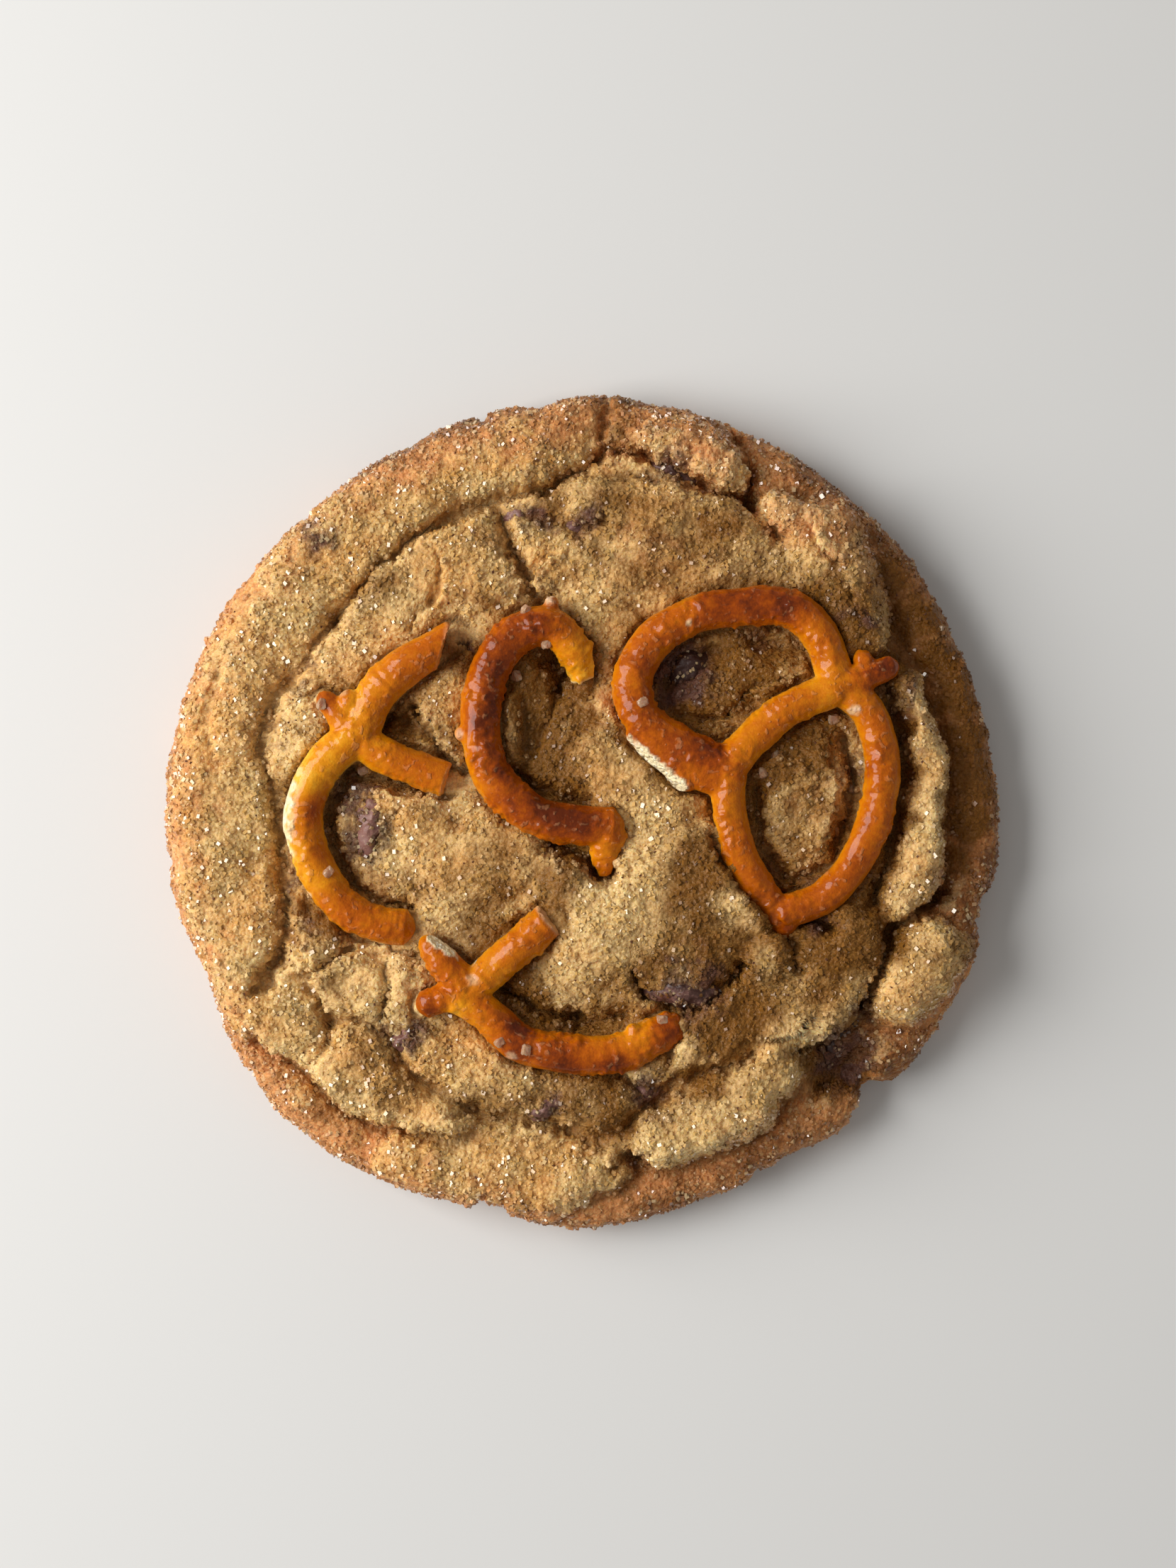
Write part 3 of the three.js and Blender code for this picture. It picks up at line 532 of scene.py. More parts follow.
# [angle in degrees, half width in degrees, height] of the outline's bumps and dents.
OUTLINE_BUMPS = [
    [225, 13, 1.5], [182, 16, 0.4], [130, 24, -1.1], [96, 3, -0.9], [204, 7, -0.9], [256, 6, -1], [271, 7, 0.4],
    [292, 15, -1.2], [301, 4, -0.7], [315.5, 4, -1.9], [338, 6, 0.8], [347, 2.5, -1.1], [356, 8, 0.5],
    [20, 20, -0.3], [84, 10, 0.3],
]
# The same for the small nicks where the crust broke at the edge.
NICKS = [
    [255.5, 1, -0.8], [258.5, 0.8, -0.6], [296, 1.2, -0.7], [316, 1.6, -0.9], [344, 1.2, -0.9], [104, 0.9, -0.8],
    [133, 0.8, -0.5], [253.7, 0.7, 0.5], [218, 1, -0.4], [187, 0.8, -0.4],
]


def along_rim(radius, start, stop, half):
    """Stations of a fold that runs round the cookie's rim, from one angle to another."""
    steps = max(1, round(abs(stop - start) / 9))
    angles = [math.radians(start + (stop - start) * i / steps) for i in range(steps + 1)]
    return [[radius * math.cos(a), radius * math.sin(a), half] for a in angles]


# [height of the crest, how square the section is, stations [x, y, half width] along the spine]
FOLDS = [
    # the rim, anticlockwise from the north-east
    [8.2, 2.4, along_rim(46.6, 38, 76, 3.4)],
    [10.4, 2.4, along_rim(44.8, 74, 100, 5.4)],
    [11.2, 2.4, along_rim(43.2, 100, 130, 5.2)],
    [11.4, 2.2, along_rim(44, 130, 206, 6.4)],
    [8.4, 2.4, along_rim(46.6, 206, 262, 4.6)],
    [11.6, 2.8, [[-40, -22, 4.6], [-34.8, -25.4, 4.8]]],
    [12, 2.4, [[-31, -29, 3.6], [-27, -31.6, 5], [-21.5, -34, 4.4], [-15.5, -36, 3]]],
    [10.2, 2.4, [[-22, -42, 4.4], [-12, -42.8, 4.9], [-3, -43.2, 4.9], [2.5, -42, 3.8]]],
    [7.4, 2.4, along_rim(46.5, 272, 314, 3.6)],
    [7.9, 2.4, along_rim(47, -14, 40, 3.2)],
    # the tall folds of the south-east
    [13, 2.6, [[9.4, -38.6, 3.9], [14, -36.8, 4.8], [19, -33.4, 5.2], [22.4, -30, 3.8]]],
    [12.6, 2.8, [[14, -27, 4.4], [20.5, -23.5, 6], [27.6, -20, 7.3], [30.4, -15.6, 5.6]]],
    [12.4, 2.8, [[38, -21.8, 4.2], [41, -16.6, 5]]],
    [7.8, 2.6, [[34.6, -29.6, 2.4], [38.4, -26.8, 2.6]]],
    # the folds of the east and north-east, which overhang the skirt
    [12.6, 2.4, [[38.2, -10.6, 2.6], [40.2, -6, 3.2], [40.8, 0, 2.9], [41.2, 6, 2.6], [38.2, 15.4, 2.4]]],
    [12.6, 2.8, [[23.6, 35.6, 3.2], [28.2, 33, 5.2], [30.8, 28, 5.4], [33, 21.5, 4]]],
    [12.4, 2.6, [[7.8, 44.2, 2.4], [12.6, 43.4, 3.6], [17, 41, 3.2]]],
    # lumps and plates on the plateau, from the north to the south
    [11.9, 2.6, [[1, 37.2, 3.2], [8, 35, 6], [16, 32.5, 6]]],
    [12, 2.6, [[-24, 25, 5], [-17.4, 27.6, 6], [-13, 28.6, 5]]],
    [11.9, 3, [[-16.6, 12, 3.4], [-15, 15, 3.2]]],
    [12.7, 2.2, [[-8.6, 6.6, 1.5], [-9, 10.4, 1.7], [-8.4, 13.2, 1.4]]],
    [12.2, 2.2, [[8.8, 13.4, 1.2], [9.2, 16.8, 1.2]]],
    [11.6, 2.6, [[-31.5, 17, 3], [-33.6, 10, 3.6]]],
    [11.9, 2.6, [[-19, -1.6, 3.4], [-16, -6, 4.6], [-9, -5, 5.6]]],
    [11.3, 2.6, [[16, 13.6, 2.4], [21, 16.6, 3], [25, 18.4, 2.4]]],
    [11.6, 2.6, [[25.8, 5, 4.6], [26.2, -0.4, 4.6]]],
    [11.7, 2.6, [[-31.6, -14.6, 3], [-31.4, -16.6, 3]]],
    [12, 2.8, [[-29.2, -19.8, 3.4], [-26, -20.4, 3.6]]],
    [11.9, 2.8, [[-21.2, -20.4, 2.4], [-20.8, -22.8, 2.6]]],
    [12, 2.4, [[-19, -27.8, 2.6], [-14, -30, 3.9], [-8, -32, 3.4]]],
    [11.6, 2.4, [[0.4, -34, 3.6], [2.4, -34.6, 3.3]]],
    # the dome in the middle, which has risen over the ends of the pretzels
    [12.4, 2.2, [[4, 6, 6], [9, -1, 6]]],
    [13.9, 2.2, [[2.5, -11, 9.6], [12, -12.4, 9.6]]],
    [13.4, 2.6, [[13.6, -4.5, 4.6], [19, -11, 4.6]]],
    [13.2, 2.8, [[21.8, -16.6, 3.6], [21.2, -18.4, 3.4]]],
]

# [depth, stations [x, y, half width]]
CREASES = [
    # between the rim and the plateau, from the north by the west to the south-west
    [2.1, [
        [8, 42.6, 0.8], [3, 43.4, 0.8], [0.6, 41.2, 0.9], [-4, 38.8, 0.9], [-9, 37.6, 1], [-15, 35.6, 0.9],
        [-19, 33.6, 0.8], [-22.5, 30.8, 0.8], [-26.5, 27, 0.9], [-30, 23, 1.2],
    ]],
    [1.5, [
        [-30, 23, 1.2], [-32.8, 18, 1.9], [-36, 13.5, 1.9], [-38.3, 8.5, 1.3], [-37.2, 4, 1], [-36.8, -2, 1],
        [-35.5, -8, 1], [-35.2, -14, 1], [-37.5, -21, 1],
    ]],
    [0.7, [[-38, 28, 1.4], [-43, 19, 1.4], [-44.6, 10, 1.4], [-44, 6, 1.2], [-41, 6.4, 1], [-38.6, 6.6, 0.9]]],
    [1.3, [[1.6, 42.2, 0.8], [2.2, 45, 1], [2.6, 48, 1]]],
    [1.6, [[7, 42.6, 0.8], [11, 41.2, 1], [14, 39.5, 1], [19.8, 37.6, 1.1]]],
    [2.4, [[17, 46, 0.8], [19.6, 41, 1], [20.2, 37, 1], [23.5, 32.8, 1]]],
    [1.1, [[-10.6, 36.4, 1.2], [-6, 35.3, 1.3], [-1, 34.3, 1.4], [2.4, 34.6, 1]]],
    [1.9, [[-9.6, 35.2, 1], [-7.9, 30.6, 0.75], [-6, 26.5, 0.75], [-4.8, 24.6, 0.8]]],
    [0.6, [[-17, 30.5, 0.6], [-17.2, 27, 0.6], [-18.8, 24.2, 0.6], [-20, 22, 0.7]]],
    # round the fork
    [2.4, [
        [-28.2, 4.6, 1.1], [-29.9, 1, 1.1], [-29.4, -4, 1.1], [-26.6, -8.7, 1.1], [-23, -10.8, 1],
        [-20.4, -11, 0.9],
    ]],
    [2.2, [[-27.5, 4.8, 0.9], [-23.6, 4.2, 0.8], [-19, 2.6, 0.8]]],
    [2.2, [[-24.4, 10.6, 1.6], [-22.2, 11, 1.8], [-20.4, 10.2, 1.2]]],
    [1.7, [[-20.4, 13, 0.6], [-19.2, 10.6, 0.6], [-17, 7.6, 0.6], [-14.2, 4.4, 0.7]]],
    [1.3, [[-36, 3, 1.3], [-35.8, -3, 1.5], [-34.3, -7.6, 1.4], [-32.6, -11.4, 1.2]]],
    [1.3, [[-28, -14.6, 1.2], [-24, -16.6, 1.3], [-19.6, -16.8, 1.2]]],
    [1, [[-14.6, 20.3, 0.6], [-13.4, 19.8, 0.6]]],
    # inside the crescent and under its end
    [1.5, [[-8.2, 5.6, 0.8], [-5, 2.7, 1], [0.6, 1.5, 0.9]]],
    [0.7, [[-6.6, 8, 3.6], [-5.4, 15, 3.6]]],
    [3.2, [[-3.8, 18.4, 1.7], [-2.4, 16.4, 1.7], [-3, 14.6, 1]]],
    [0.6, [[-3.4, 16, 0.7], [-3.8, 12.6, 0.7], [-5.4, 7.6, 0.8]]],
    [3.6, [[-3.6, -3.4, 1], [-1.4, -4.4, 1.5], [0.8, -5.6, 1.7], [2.3, -7, 1.2]]],
    [1.6, [[3.2, -3.4, 1.6], [2.8, -6.4, 1.2]]],
    # inside the loops of the knot
    [2.1, [[9.8, 15, 2.4], [12, 17.6, 3], [16, 19.4, 2.6]]],
    [1.4, [[11, 12, 1.3], [17, 10.2, 1.4], [20, 13.5, 1.2]]],
    [1.3, [[20, 20.6, 1.6], [26, 19.4, 1.6]]],
    [2.3, [[31, 9, 1], [32, 4, 1], [31.6, -0.5, 1], [30, -4, 1]]],
    [1.7, [[20.5, 3, 1], [20.9, -3, 1.1], [22.6, -6.6, 1.3], [25.2, -8, 1.4], [28.4, -6.4, 1.4]]],
    # between the folds of the east and south-east
    [2.6, [[36.6, 15, 1.1], [38, 9, 1.2], [38.2, 4, 1.2], [37.4, -2, 1.2], [36, -7, 1.2], [34.6, -10.8, 1]]],
    [2.6, [[43, -10, 0.9], [39.6, -12.2, 0.9], [36.3, -14, 1], [35.3, -18, 0.8], [33.8, -22.4, 0.9]]],
    [2.4, [[24.6, -28.6, 0.9], [29.2, -27.8, 1.5], [31.8, -25, 1.5], [33.8, -22.4, 0.9]]],
    [2.2, [[28.6, -33, 1], [31, -31.2, 1.6], [33.6, -28.6, 1.3]]],
    # round the dome
    [1.7, [
        [5.6, -18.6, 0.6], [8, -21.5, 0.7], [11, -23, 0.7], [14, -22.6, 0.8], [17, -20.6, 0.7], [18.4, -17.8, 0.6],
    ]],
    [1, [
        [15.3, -2.6, 0.6], [16.6, -6, 0.6], [21, -10.5, 0.6], [22.4, -13.4, 0.6], [25.2, -15, 0.6], [25, -17, 0.5],
        [26.2, -18.6, 0.5],
    ]],
    [3, [[20.6, -8, 0.8], [23.6, -11, 1.1], [26.4, -12.4, 1.3], [29.6, -13.4, 1]]],
    [2.8, [[-9.6, -21, 1.2], [-6, -23, 1.4], [-0.6, -24.6, 1.3]]],
    [2.2, [[-0.6, -24.6, 1.3], [5, -24, 1.1]]],
    [1, [[10.4, -23.6, 0.6], [10.6, -26, 0.6], [9.8, -30, 0.6]]],
    # between the lumps of the south-west
    [1.6, [[-38.8, -21, 0.9], [-36, -16.8, 0.9]]],
    [1.2, [[-33.2, -19.4, 0.8], [-30.6, -17.8, 0.7], [-27.6, -16.4, 0.8]]],
    [0.9, [[-23.2, -18, 0.6], [-23.3, -21, 0.6], [-24.2, -24.4, 0.8]]],
    [1.1, [[-32.6, -20.6, 0.8], [-30.6, -23, 0.8], [-30, -26.6, 0.8], [-32.6, -30, 0.9]]],
    [1.2, [
        [-29.6, -24.4, 0.8], [-26, -24.8, 0.9], [-23, -26.6, 0.9], [-20.4, -30.6, 1.2], [-17, -33, 1.2],
        [-13, -35.4, 1.2],
    ]],
    [1.2, [
        [-39, -27.4, 0.9], [-35, -29.8, 1], [-32, -32.4, 1], [-29, -35.3, 1], [-25.6, -37.4, 1], [-21, -38.2, 1],
    ]],
    # round the folds of the south
    [1.9, [
        [-14.6, -35, 1.2], [-10, -36.2, 1.3], [-4, -36.6, 1.4], [0.6, -38.6, 1.4], [4.6, -37.8, 1.4],
        [7.6, -34.9, 1.2], [12, -32.6, 1.5], [17, -30, 1.4], [20, -28.6, 1],
    ]],
    [1.5, [[4.2, -31.2, 0.9], [7, -33, 1.1], [10.4, -32.2, 0.9]]],
    [1.6, [[3, -42.4, 0.9], [5, -41.2, 1.2], [7.4, -41.3, 0.9]]],
]

# Plates of crust whose torn edge stands over what lies beside it: [how far back the plate rises,
# stations [x, y, height] along the edge]. The plate is on the left of its edge.
LEDGES = [
    [3.4, [
        [-20, 15, 0], [-20.6, 13.2, 0.8], [-18.6, 11, 1.2], [-17.6, 8.8, 1.2], [-15.4, 7, 0.9], [-13.6, 4.6, 0],
    ]],
    [3.6, [
        [-15.6, 3.4, 0], [-18.4, 1.8, 0.8], [-20.6, 1.9, 0.9], [-22.6, 2.6, 0.9], [-24.4, 3.4, 0.5],
        [-26.4, 3.6, 0],
    ]],
    [4, [[-24.6, 2.6, 0], [-24.2, 0.4, 0.7], [-24.8, -2.4, 0.8], [-25.4, -5.4, 0.6], [-24, -8, 0]]],
    [3, [[-1, 31.6, 0], [-4.2, 30.2, 0.7], [-6, 27.6, 0.9], [-4.6, 25.6, 0.7], [-1.6, 26.2, 0]]],
    [2.6, [[-6.8, 24.8, 0], [-7.6, 28, 0.6], [-9, 31, 0.6], [-10.6, 34, 0]]],
    [3.2, [
        [27, 17.6, 0], [23.6, 15.4, 0.8], [20.2, 14.4, 0.9], [17.4, 11.2, 0.8], [14.6, 10.6, 0.6], [12, 8.4, 0],
    ]],
    [3, [[27.4, -3.6, 0], [29.4, -1.2, 0.8], [30.2, 2.4, 0.9], [29.4, 5.6, 0.8], [29.8, 9, 0]]],
    [2.6, [[27.2, 4.2, 0], [25.4, 6.4, 0.5], [22.4, 6.8, 0.5], [20.6, 4.6, 0]]],
    [3, [
        [25, -19.8, 0], [25.4, -18, 0.6], [24.8, -15.4, 0.9], [22.6, -13.2, 1.1], [20.4, -10.6, 1], [18.4, -8.4, 1],
        [16.4, -5.6, 0.8], [15, -2.6, 0],
    ]],
    [2.8, [[3, -8.6, 0], [0.6, -7.6, 0.8], [-1.8, -6.2, 1], [-4.6, -4.6, 0.8], [-7, -4, 0]]],
    [3.4, [[-18.2, -18.8, 0], [-19.8, -17.2, 0.6], [-23.4, -16.2, 0.8], [-26.8, -15.2, 0.6], [-29.6, -13.4, 0]]],
    [3, [[-34.4, -13.6, 0], [-32.6, -17, 0.7], [-31.8, -20.2, 0.8], [-30.2, -23.4, 0.6], [-28.8, -25.8, 0]]],
    [3, [[-26, -24.6, 0], [-23, -24.2, 0.7], [-20.2, -25.8, 0.6], [-17.2, -27, 0]]],
    [3, [[26, 35.6, 0], [27.6, 32, 0.7], [30.6, 29.4, 0.8], [31.6, 26, 0.7], [32.6, 23, 0]]],
    [3.4, [[16.4, -28.8, 0], [18.8, -26.6, 0.6], [22.4, -27, 0.8], [26.2, -25.4, 0.8], [28.8, -22.4, 0]]],
    [3, [[19.4, -17.2, 0], [17.8, -19.4, 0.7], [15.4, -22.4, 0.8], [12.4, -23.6, 0.6], [10, -24.4, 0]]],
]

# Spots on the crust, as [x, y, radius, strength]: where it browned most, with painted shade on the east skirt and
# under the crescent's end; where it stayed pale under thick sugar, with painted light on the dome and in the
# crescent;
# and where chocolate under it stained it.
BROWNED_AND_SHADED = [
    [14, 42, 4.5, 0.8], [25, 35, 4, 0.8], [30, 32, 4, 0.5], [-22, 44, 6, 0.6], [-14, 47, 5, 0.6], [46, -8, 5, 0.9],
    [44, 20, 6, 0.8], [38, 30, 6, 0.8], [30, 39, 5, 0.8], [36, -30, 5, 0.9], [22, -42, 8, 0.35], [10, -46, 5, 0.4],
    [-3, 18, 3, 1.2], [5, 46, 5, 0.7], [-2, 46, 4, 0.5], [-8, 43, 3, 0.4], [-46, 0, 6, 0.15], [49, -3, 6, 0.8],
    [48, 12, 6, 0.8], [4, 14, 6, 0.5], [8, 31, 6, 0.4], [14, 35, 5, 0.3], [-16, 25, 3, 0.3], [26, 2, 4, 0.35],
]
PALE_AND_LIT = [
    [6.5, -3, 4.6, 1], [4, -11, 7, 1], [-16, -13, 4.4, 0.9], [-18.6, -21.4, 3.8, 1], [-15, 2.5, 3.4, 0.9],
    [-2, -20, 3.4, 0.8], [11, -26.4, 2.6, 0.9], [-14, 22.5, 3, 0.9], [30, 3, 2.4, 0.6], [-32.4, 12, 3.2, 0.9],
    [-34, 7.6, 2.8, 0.8], [12, 32, 3, 0.35], [-8.6, 9.4, 2.6, 1], [27, -26, 2.6, 0.9], [6, -30.6, 2.8, 0.8],
    [-23, -5, 2.8, 0.8], [17, -11, 3, 0.8], [3.4, 12.6, 2.4, 0.6], [25, -25, 4, 0.6], [0, 38, 4, 0.5],
    [-37, 8, 3, 0.5], [-38, -17, 3.4, 0.6], [9, 0, 3.4, 0.7], [-8, 27, 3, 0.4], [41, -1, 4, 0.35],
    [41, -18, 5, 0.4], [-30, 20, 5, 0.4], [-24, -20, 5, 0.5], [17, -37, 6, 0.5], [0, -34, 4, 0.5], [3, -14, 6, 0.4],
    [20, 28, 7, 0.5], [-22, 12, 4, 0.5], [-22, 20, 5, 0.4], [-32, -18, 3, 0.4], [38, -10, 3, 0.6],
    [-12, 30, 4, 0.3], [-19, -6, 4, 0.3], [-25.5, -4.6, 3, 0.6],
]
STAINED = [
    [-31, 32.5, 2.6, 0.6], [-5, 34.8, 2.6, 0.7], [1, 34.6, 2, 0.7], [-8, 36, 1.8, 0.6], [38, 13, 3, 0.45],
    [30.5, 24, 2.8, 0.4], [12.6, -20.6, 4.4, 0.8], [12.4, -21.8, 2.4, 1.1], [-3.6, -34.4, 2, 0.6],
    [-20.6, -26.2, 2.2, 0.7], [28, -12.6, 2.2, 0.8], [31.4, -29.6, 3.8, 1.3], [7.6, -32.6, 2.6, 0.8],
    [6.4, -41.4, 1.6, 0.6], [-26.4, -2.6, 4.2, 0.75], [-27, 2.2, 3, 0.8], [11.6, 16.6, 4.4, 1], [31.8, 5, 1.8, 0.6],
    [-34.8, -2, 2.4, 0.6], [-34.8, -8, 2.2, 0.6], [-36, 10, 2.6, 0.25], [-33.4, 16.4, 2.4, 0.45],
    [33.5, 22.5, 1.8, 0.6], [10.4, 40.4, 3, 0.7], [-13.2, 20, 0.8, 0.8], [1.2, -6.6, 1.4, 0.9],
    [21, 20.6, 2.4, 0.35], [37.6, 8, 2, 0.5], [33.6, -23, 2, 0.7], [-24, -26, 2, 0.5], [-33, -13.6, 2, 0.4],
    [22.4, -7, 2.6, 0.3], [-33, 14, 2, 0.2], [27, -8.6, 2, 0.3],
]
# Dark crust: moist dough in the pretzels' loops, and painted shade in the loops and on the east slopes and skirt.
DAMP_AND_SHADE = [
    [46.2, -1, 3, 1.2], [46.4, 4, 3.2, 1.4], [46, 9, 3.2, 1.4], [44.4, 14, 3.2, 1.4], [42.4, 19, 3.2, 1.3],
    [40, 24, 3.2, 1], [36.6, 28.6, 3.2, 1], [33, 33.4, 2.8, 0.5], [-4, 16, 4, 1.3], [-5.6, 11, 3.4, 1.1],
    [13.4, 14.6, 3.6, 1.3], [-22, 9, 2.8, 1.1], [42, -17, 3, 0.6], [44.6, -6, 2.6, 0.8], [3, 46.6, 4, 0.5],
    [10, -44, 3, 0.3], [28, -12.6, 3.4, 1.2], [22.4, 4.6, 2.6, 0.9], [26, 8, 3.6, 1.2], [-8.4, -21.4, 3.2, 1.3],
    [3, -37, 3.4, 0.6], [31, -29, 4, 0.8], [40, 21, 4, 0.6], [45, 4, 3.6, 0.7], [-6, 9, 4.6, 0.9], [-4.5, 15, 5, 1],
    [-3, 4, 3.6, 0.8], [-21.5, 11, 3.4, 0.5], [-30, -13, 3, 0.5], [-24, -30, 3, 0.4], [14.5, 15.5, 5.4, 1],
    [20, 19, 5, 0.75], [11, 11.5, 3, 0.8], [22, 13.4, 4, 0.6], [16, 34, 4.4, 0.6], [-3.6, 18.6, 3, 1.3],
    [-2.4, 16.4, 2.2, 1.4], [-2.6, -8.6, 3.2, 0.7], [-3, -25, 2.4, 1], [38.8, 22.8, 2.6, 1.3], [4, 37, 5, 0.5],
    [-3, 36.5, 3, 0.5], [31, 24, 6, 0.9], [36, 17, 4, 0.9], [22, 28, 5, 0.4], [25, 2, 4, 0.4], [19.6, 3, 3, 0.6],
    [30, -3, 3, 0.5], [15, -6, 4.4, 0.7], [13, -12.6, 5, 0.62], [16, -18, 4.4, 0.45], [17, -24, 5, 0.8],
    [8, -17, 4, 0.45], [26, -13.6, 5, 1], [30.4, -14, 6, 1], [24, -21, 4.4, 0.5], [33, -9, 4, 0.5],
    [-5, -23, 3.6, 0.8], [3, -24.4, 3.6, 0.8], [-12, -14, 3.6, 0.6], [0, -33, 4.4, 0.65], [32, -29, 5, 0.6],
    [4, 45, 3, 0.6], [44, 5, 4, 0.3], [42, -13, 4, 0.3], [12, -4, 4, 0.3], [0.4, 11, 1.8, 0.8], [-0.6, -5, 2, 1.3],
    [1.6, -6.4, 1.6, 1.2], [30, -31, 3.6, 1.3], [-2.6, 17, 3.2, 1.3], [12.6, 17.2, 3.4, 1.3], [22.4, -8, 2.6, 1.1],
    [27, -13, 2.8, 1.3], [38, -1, 2.2, 0.9], [38.4, 5, 2, 0.8], [38.2, 11, 2.2, 0.8], [37, -15, 2.6, 1],
    [45.4, -16, 2.8, 0.7], [33.4, 21.6, 2.4, 0.9], [-23, -33, 3.2, 0.6], [-30, -35, 3.2, 0.5],
    [15, -31.8, 2.6, 0.8], [5, -44, 3, 0.6], [-26, -31, 3.4, 0.4],
]
# Where the dough has risen over a strand.
COVERED = [
    [18.6, -8.8, 1.8, 1], [21, -11.8, 1.8, 1], [23.2, -14.2, 1.8, 1], [5, -3.4, 1.2, 1], [4, -6, 1.2, 1],
]
# Where crumbs have come away from the edges of cracks.
CRUMBLED = [
    [-1.4, -5.2, 2.2, 1], [-13.2, -46.6, 1.6, 0.8], [-7.8, 31, 1.6, 0.5], [-17, 2.4, 2, 0.7], [19, 11, 3, 0.6],
    [-26.4, -9.6, 2, 0.5], [21, -12, 1.6, 0.5], [27, -6.6, 2.4, 0.5], [-33, -13, 2, 0.5], [11.6, 40.8, 2, 0.6],
    [-3.6, -34.6, 2, 0.5], [30, -27, 3, 0.5], [-24.6, -1, 3, 0.4], [36, 14, 2.6, 0.4], [-20, -17, 2, 0.5],
]


def stretches(x, y, stations):
    """For every stretch between two stations [x, y, value]: its run, each point's offset from the
    nearest place on it, and the value at that place."""
    for (ax, ay, start), (bx, by, stop) in zip(stations, stations[1:]):
        dx, dy = bx - ax, by - ay
        t = np.clip(((x - ax) * dx + (y - ay) * dy) / (dx * dx + dy * dy), 0, 1)
        yield (dx, dy), (x - ax - t * dx, y - ay - t * dy), start + (stop - start) * t


def spine_distance(x, y, stations):
    """Plan distance from each point to a spine, as a multiple of the half width there."""
    return np.min([np.hypot(*off) / half for _, off, half in stretches(x, y, stations)], axis=0)


def torn_edge(x, y):
    """How near each point is to a crease or a plate's edge, from 0 to 1."""
    tears = [stations for _, stations in CREASES]
    tears += [[[a, b, 0.7] for a, b, _ in stations] for _, stations in LEDGES]
    return np.max([np.exp(-((0.5 * spine_distance(x, y, stations)) ** 2)) for stations in tears], axis=0)


def ledge_height(x, y, reach, stations):
    """How much a plate's torn edge lifts the crust on its left, and sinks it at its right foot."""
    nearest = np.full(x.shape, np.inf)
    lift = np.zeros(x.shape)
    for run, off, height in stretches(x, y, stations):
        away = np.hypot(*off)
        plate = height * np.clip(1 - away / reach, 0, 1) ** 1.5
        foot = -FOOT_SINK * height * np.exp(-((away / FOOT_WIDTH) ** 2))
        here = np.where(run[0] * off[1] - run[1] * off[0] > 0, plate, foot)
        lift = np.where(away < nearest, here, lift)
        nearest = np.minimum(nearest, away)
    return lift


def crust_height(x, y):
    """Height of the crust over each point of the plan."""
    ground = PLATEAU_Z + (SHELF_Z - PLATEAU_Z) * smoothstep(PLATEAU_RADIUS, SHELF_RADIUS, np.hypot(x, y))
    z = ground.copy()
    for crest, squareness, stations in FOLDS:
        away = np.clip(spine_distance(x, y, stations), 0, 1)
        z = np.maximum(z, ground + (crest - ground) * (1 - away ** (EDGE_SHARPNESS * squareness)))
    for depth, stations in CREASES:
        away = spine_distance(x, y, stations)
        z = z - depth * (0.75 * np.exp(-(away**2)) + 0.5 * np.exp(-((2.2 * away) ** 2)))
    for reach, stations in LEDGES:
        z = z + ledge_height(x, y, reach, stations)
    unevenness = 0.22 * np.sin(0.31 * x + 0.6) * np.sin(0.27 * y - 0.4) + 0.14 * np.sin(0.62 * x - 0.48 * y)
    return z + unevenness


def outline_radius(angle):
    """Radius of the cookie's outline at each angle."""
    radius = np.full(angle.shape, COOKIE_RADIUS)
    for at, half, height in OUTLINE_BUMPS + NICKS:
        away = (np.degrees(angle) - at + 540) % 360 - 180
        radius += height * np.exp(-((away / half) ** 2))
    return radius


def spots(x, y, places):
    """A mask that is high on the given spots."""
    total = np.zeros(x.shape)
    for at_x, at_y, radius, strength in places:
        away = ((x - at_x) ** 2 + (y - at_y) ** 2) / radius**2
        total = np.maximum(total, strength * np.exp(-(away**1.5)))
    return total


def strand_clearance(x, y):
    """Plan distance from each point to the nearest pretzel strand's skin, less than 0 under it."""
    gaps = []
    for piece in PRETZELS.values():
        for stations in piece["strands"]:
            path = strand_path(stations, PATH_STEP)[:, [0, 1, 3]]
            gaps += [np.hypot(*off) - radius for _, off, radius in stretches(x, y, path)]
        gaps += [np.hypot(x - at_x, y - at_y) - radius for at_x, at_y, _, radius, _ in piece["nubs"]]
    return np.min(gaps, axis=0)


def softened(grid, reach):
    """The grid averaged over a square of cells round each."""
    for axis in (0, 1):
        padded = np.pad(grid, [(reach + 1, reach) if i == axis else (0, 0) for i in (0, 1)], mode="edge")
        sums = np.cumsum(padded, axis=axis)
        width = 2 * reach + 1
        high = np.take(sums, np.arange(width, sums.shape[axis]), axis=axis)
        low = np.take(sums, np.arange(0, sums.shape[axis] - width), axis=axis)
        grid = (high - low) / width
    return grid


# The net is a square whose rings are drawn out into circles. Its outer rings turn down as the wall.
side = np.linspace(-1, 1, CRUST_CELLS + 1)
net_u, net_v = np.meshgrid(side, side, indexing="ij")
ring = np.maximum(np.abs(net_u), np.abs(net_v))
with np.errstate(divide="ignore", invalid="ignore"):
    across = np.abs(net_u) >= np.abs(net_v)
    angle = np.where(
        across,
        np.pi / 4 * (net_v / net_u) + np.where(net_u < 0, np.pi, 0),
        np.pi / 2 - np.pi / 4 * (net_u / net_v) + np.where(net_v < 0, np.pi, 0),
    )
angle = np.where(ring == 0, 0, angle)
cos_a, sin_a = np.cos(angle), np.sin(angle)
outline = outline_radius(angle)
shoulder = outline - SHOULDER
brow = 1 - WALL_SHARE
turn = np.clip((ring - brow) / WALL_SHARE, 0, 1) * math.radians(WALL_TURN)
on_top = ring <= brow
above = turn < np.pi / 2
foot_sine = math.sin(math.radians(WALL_TURN))
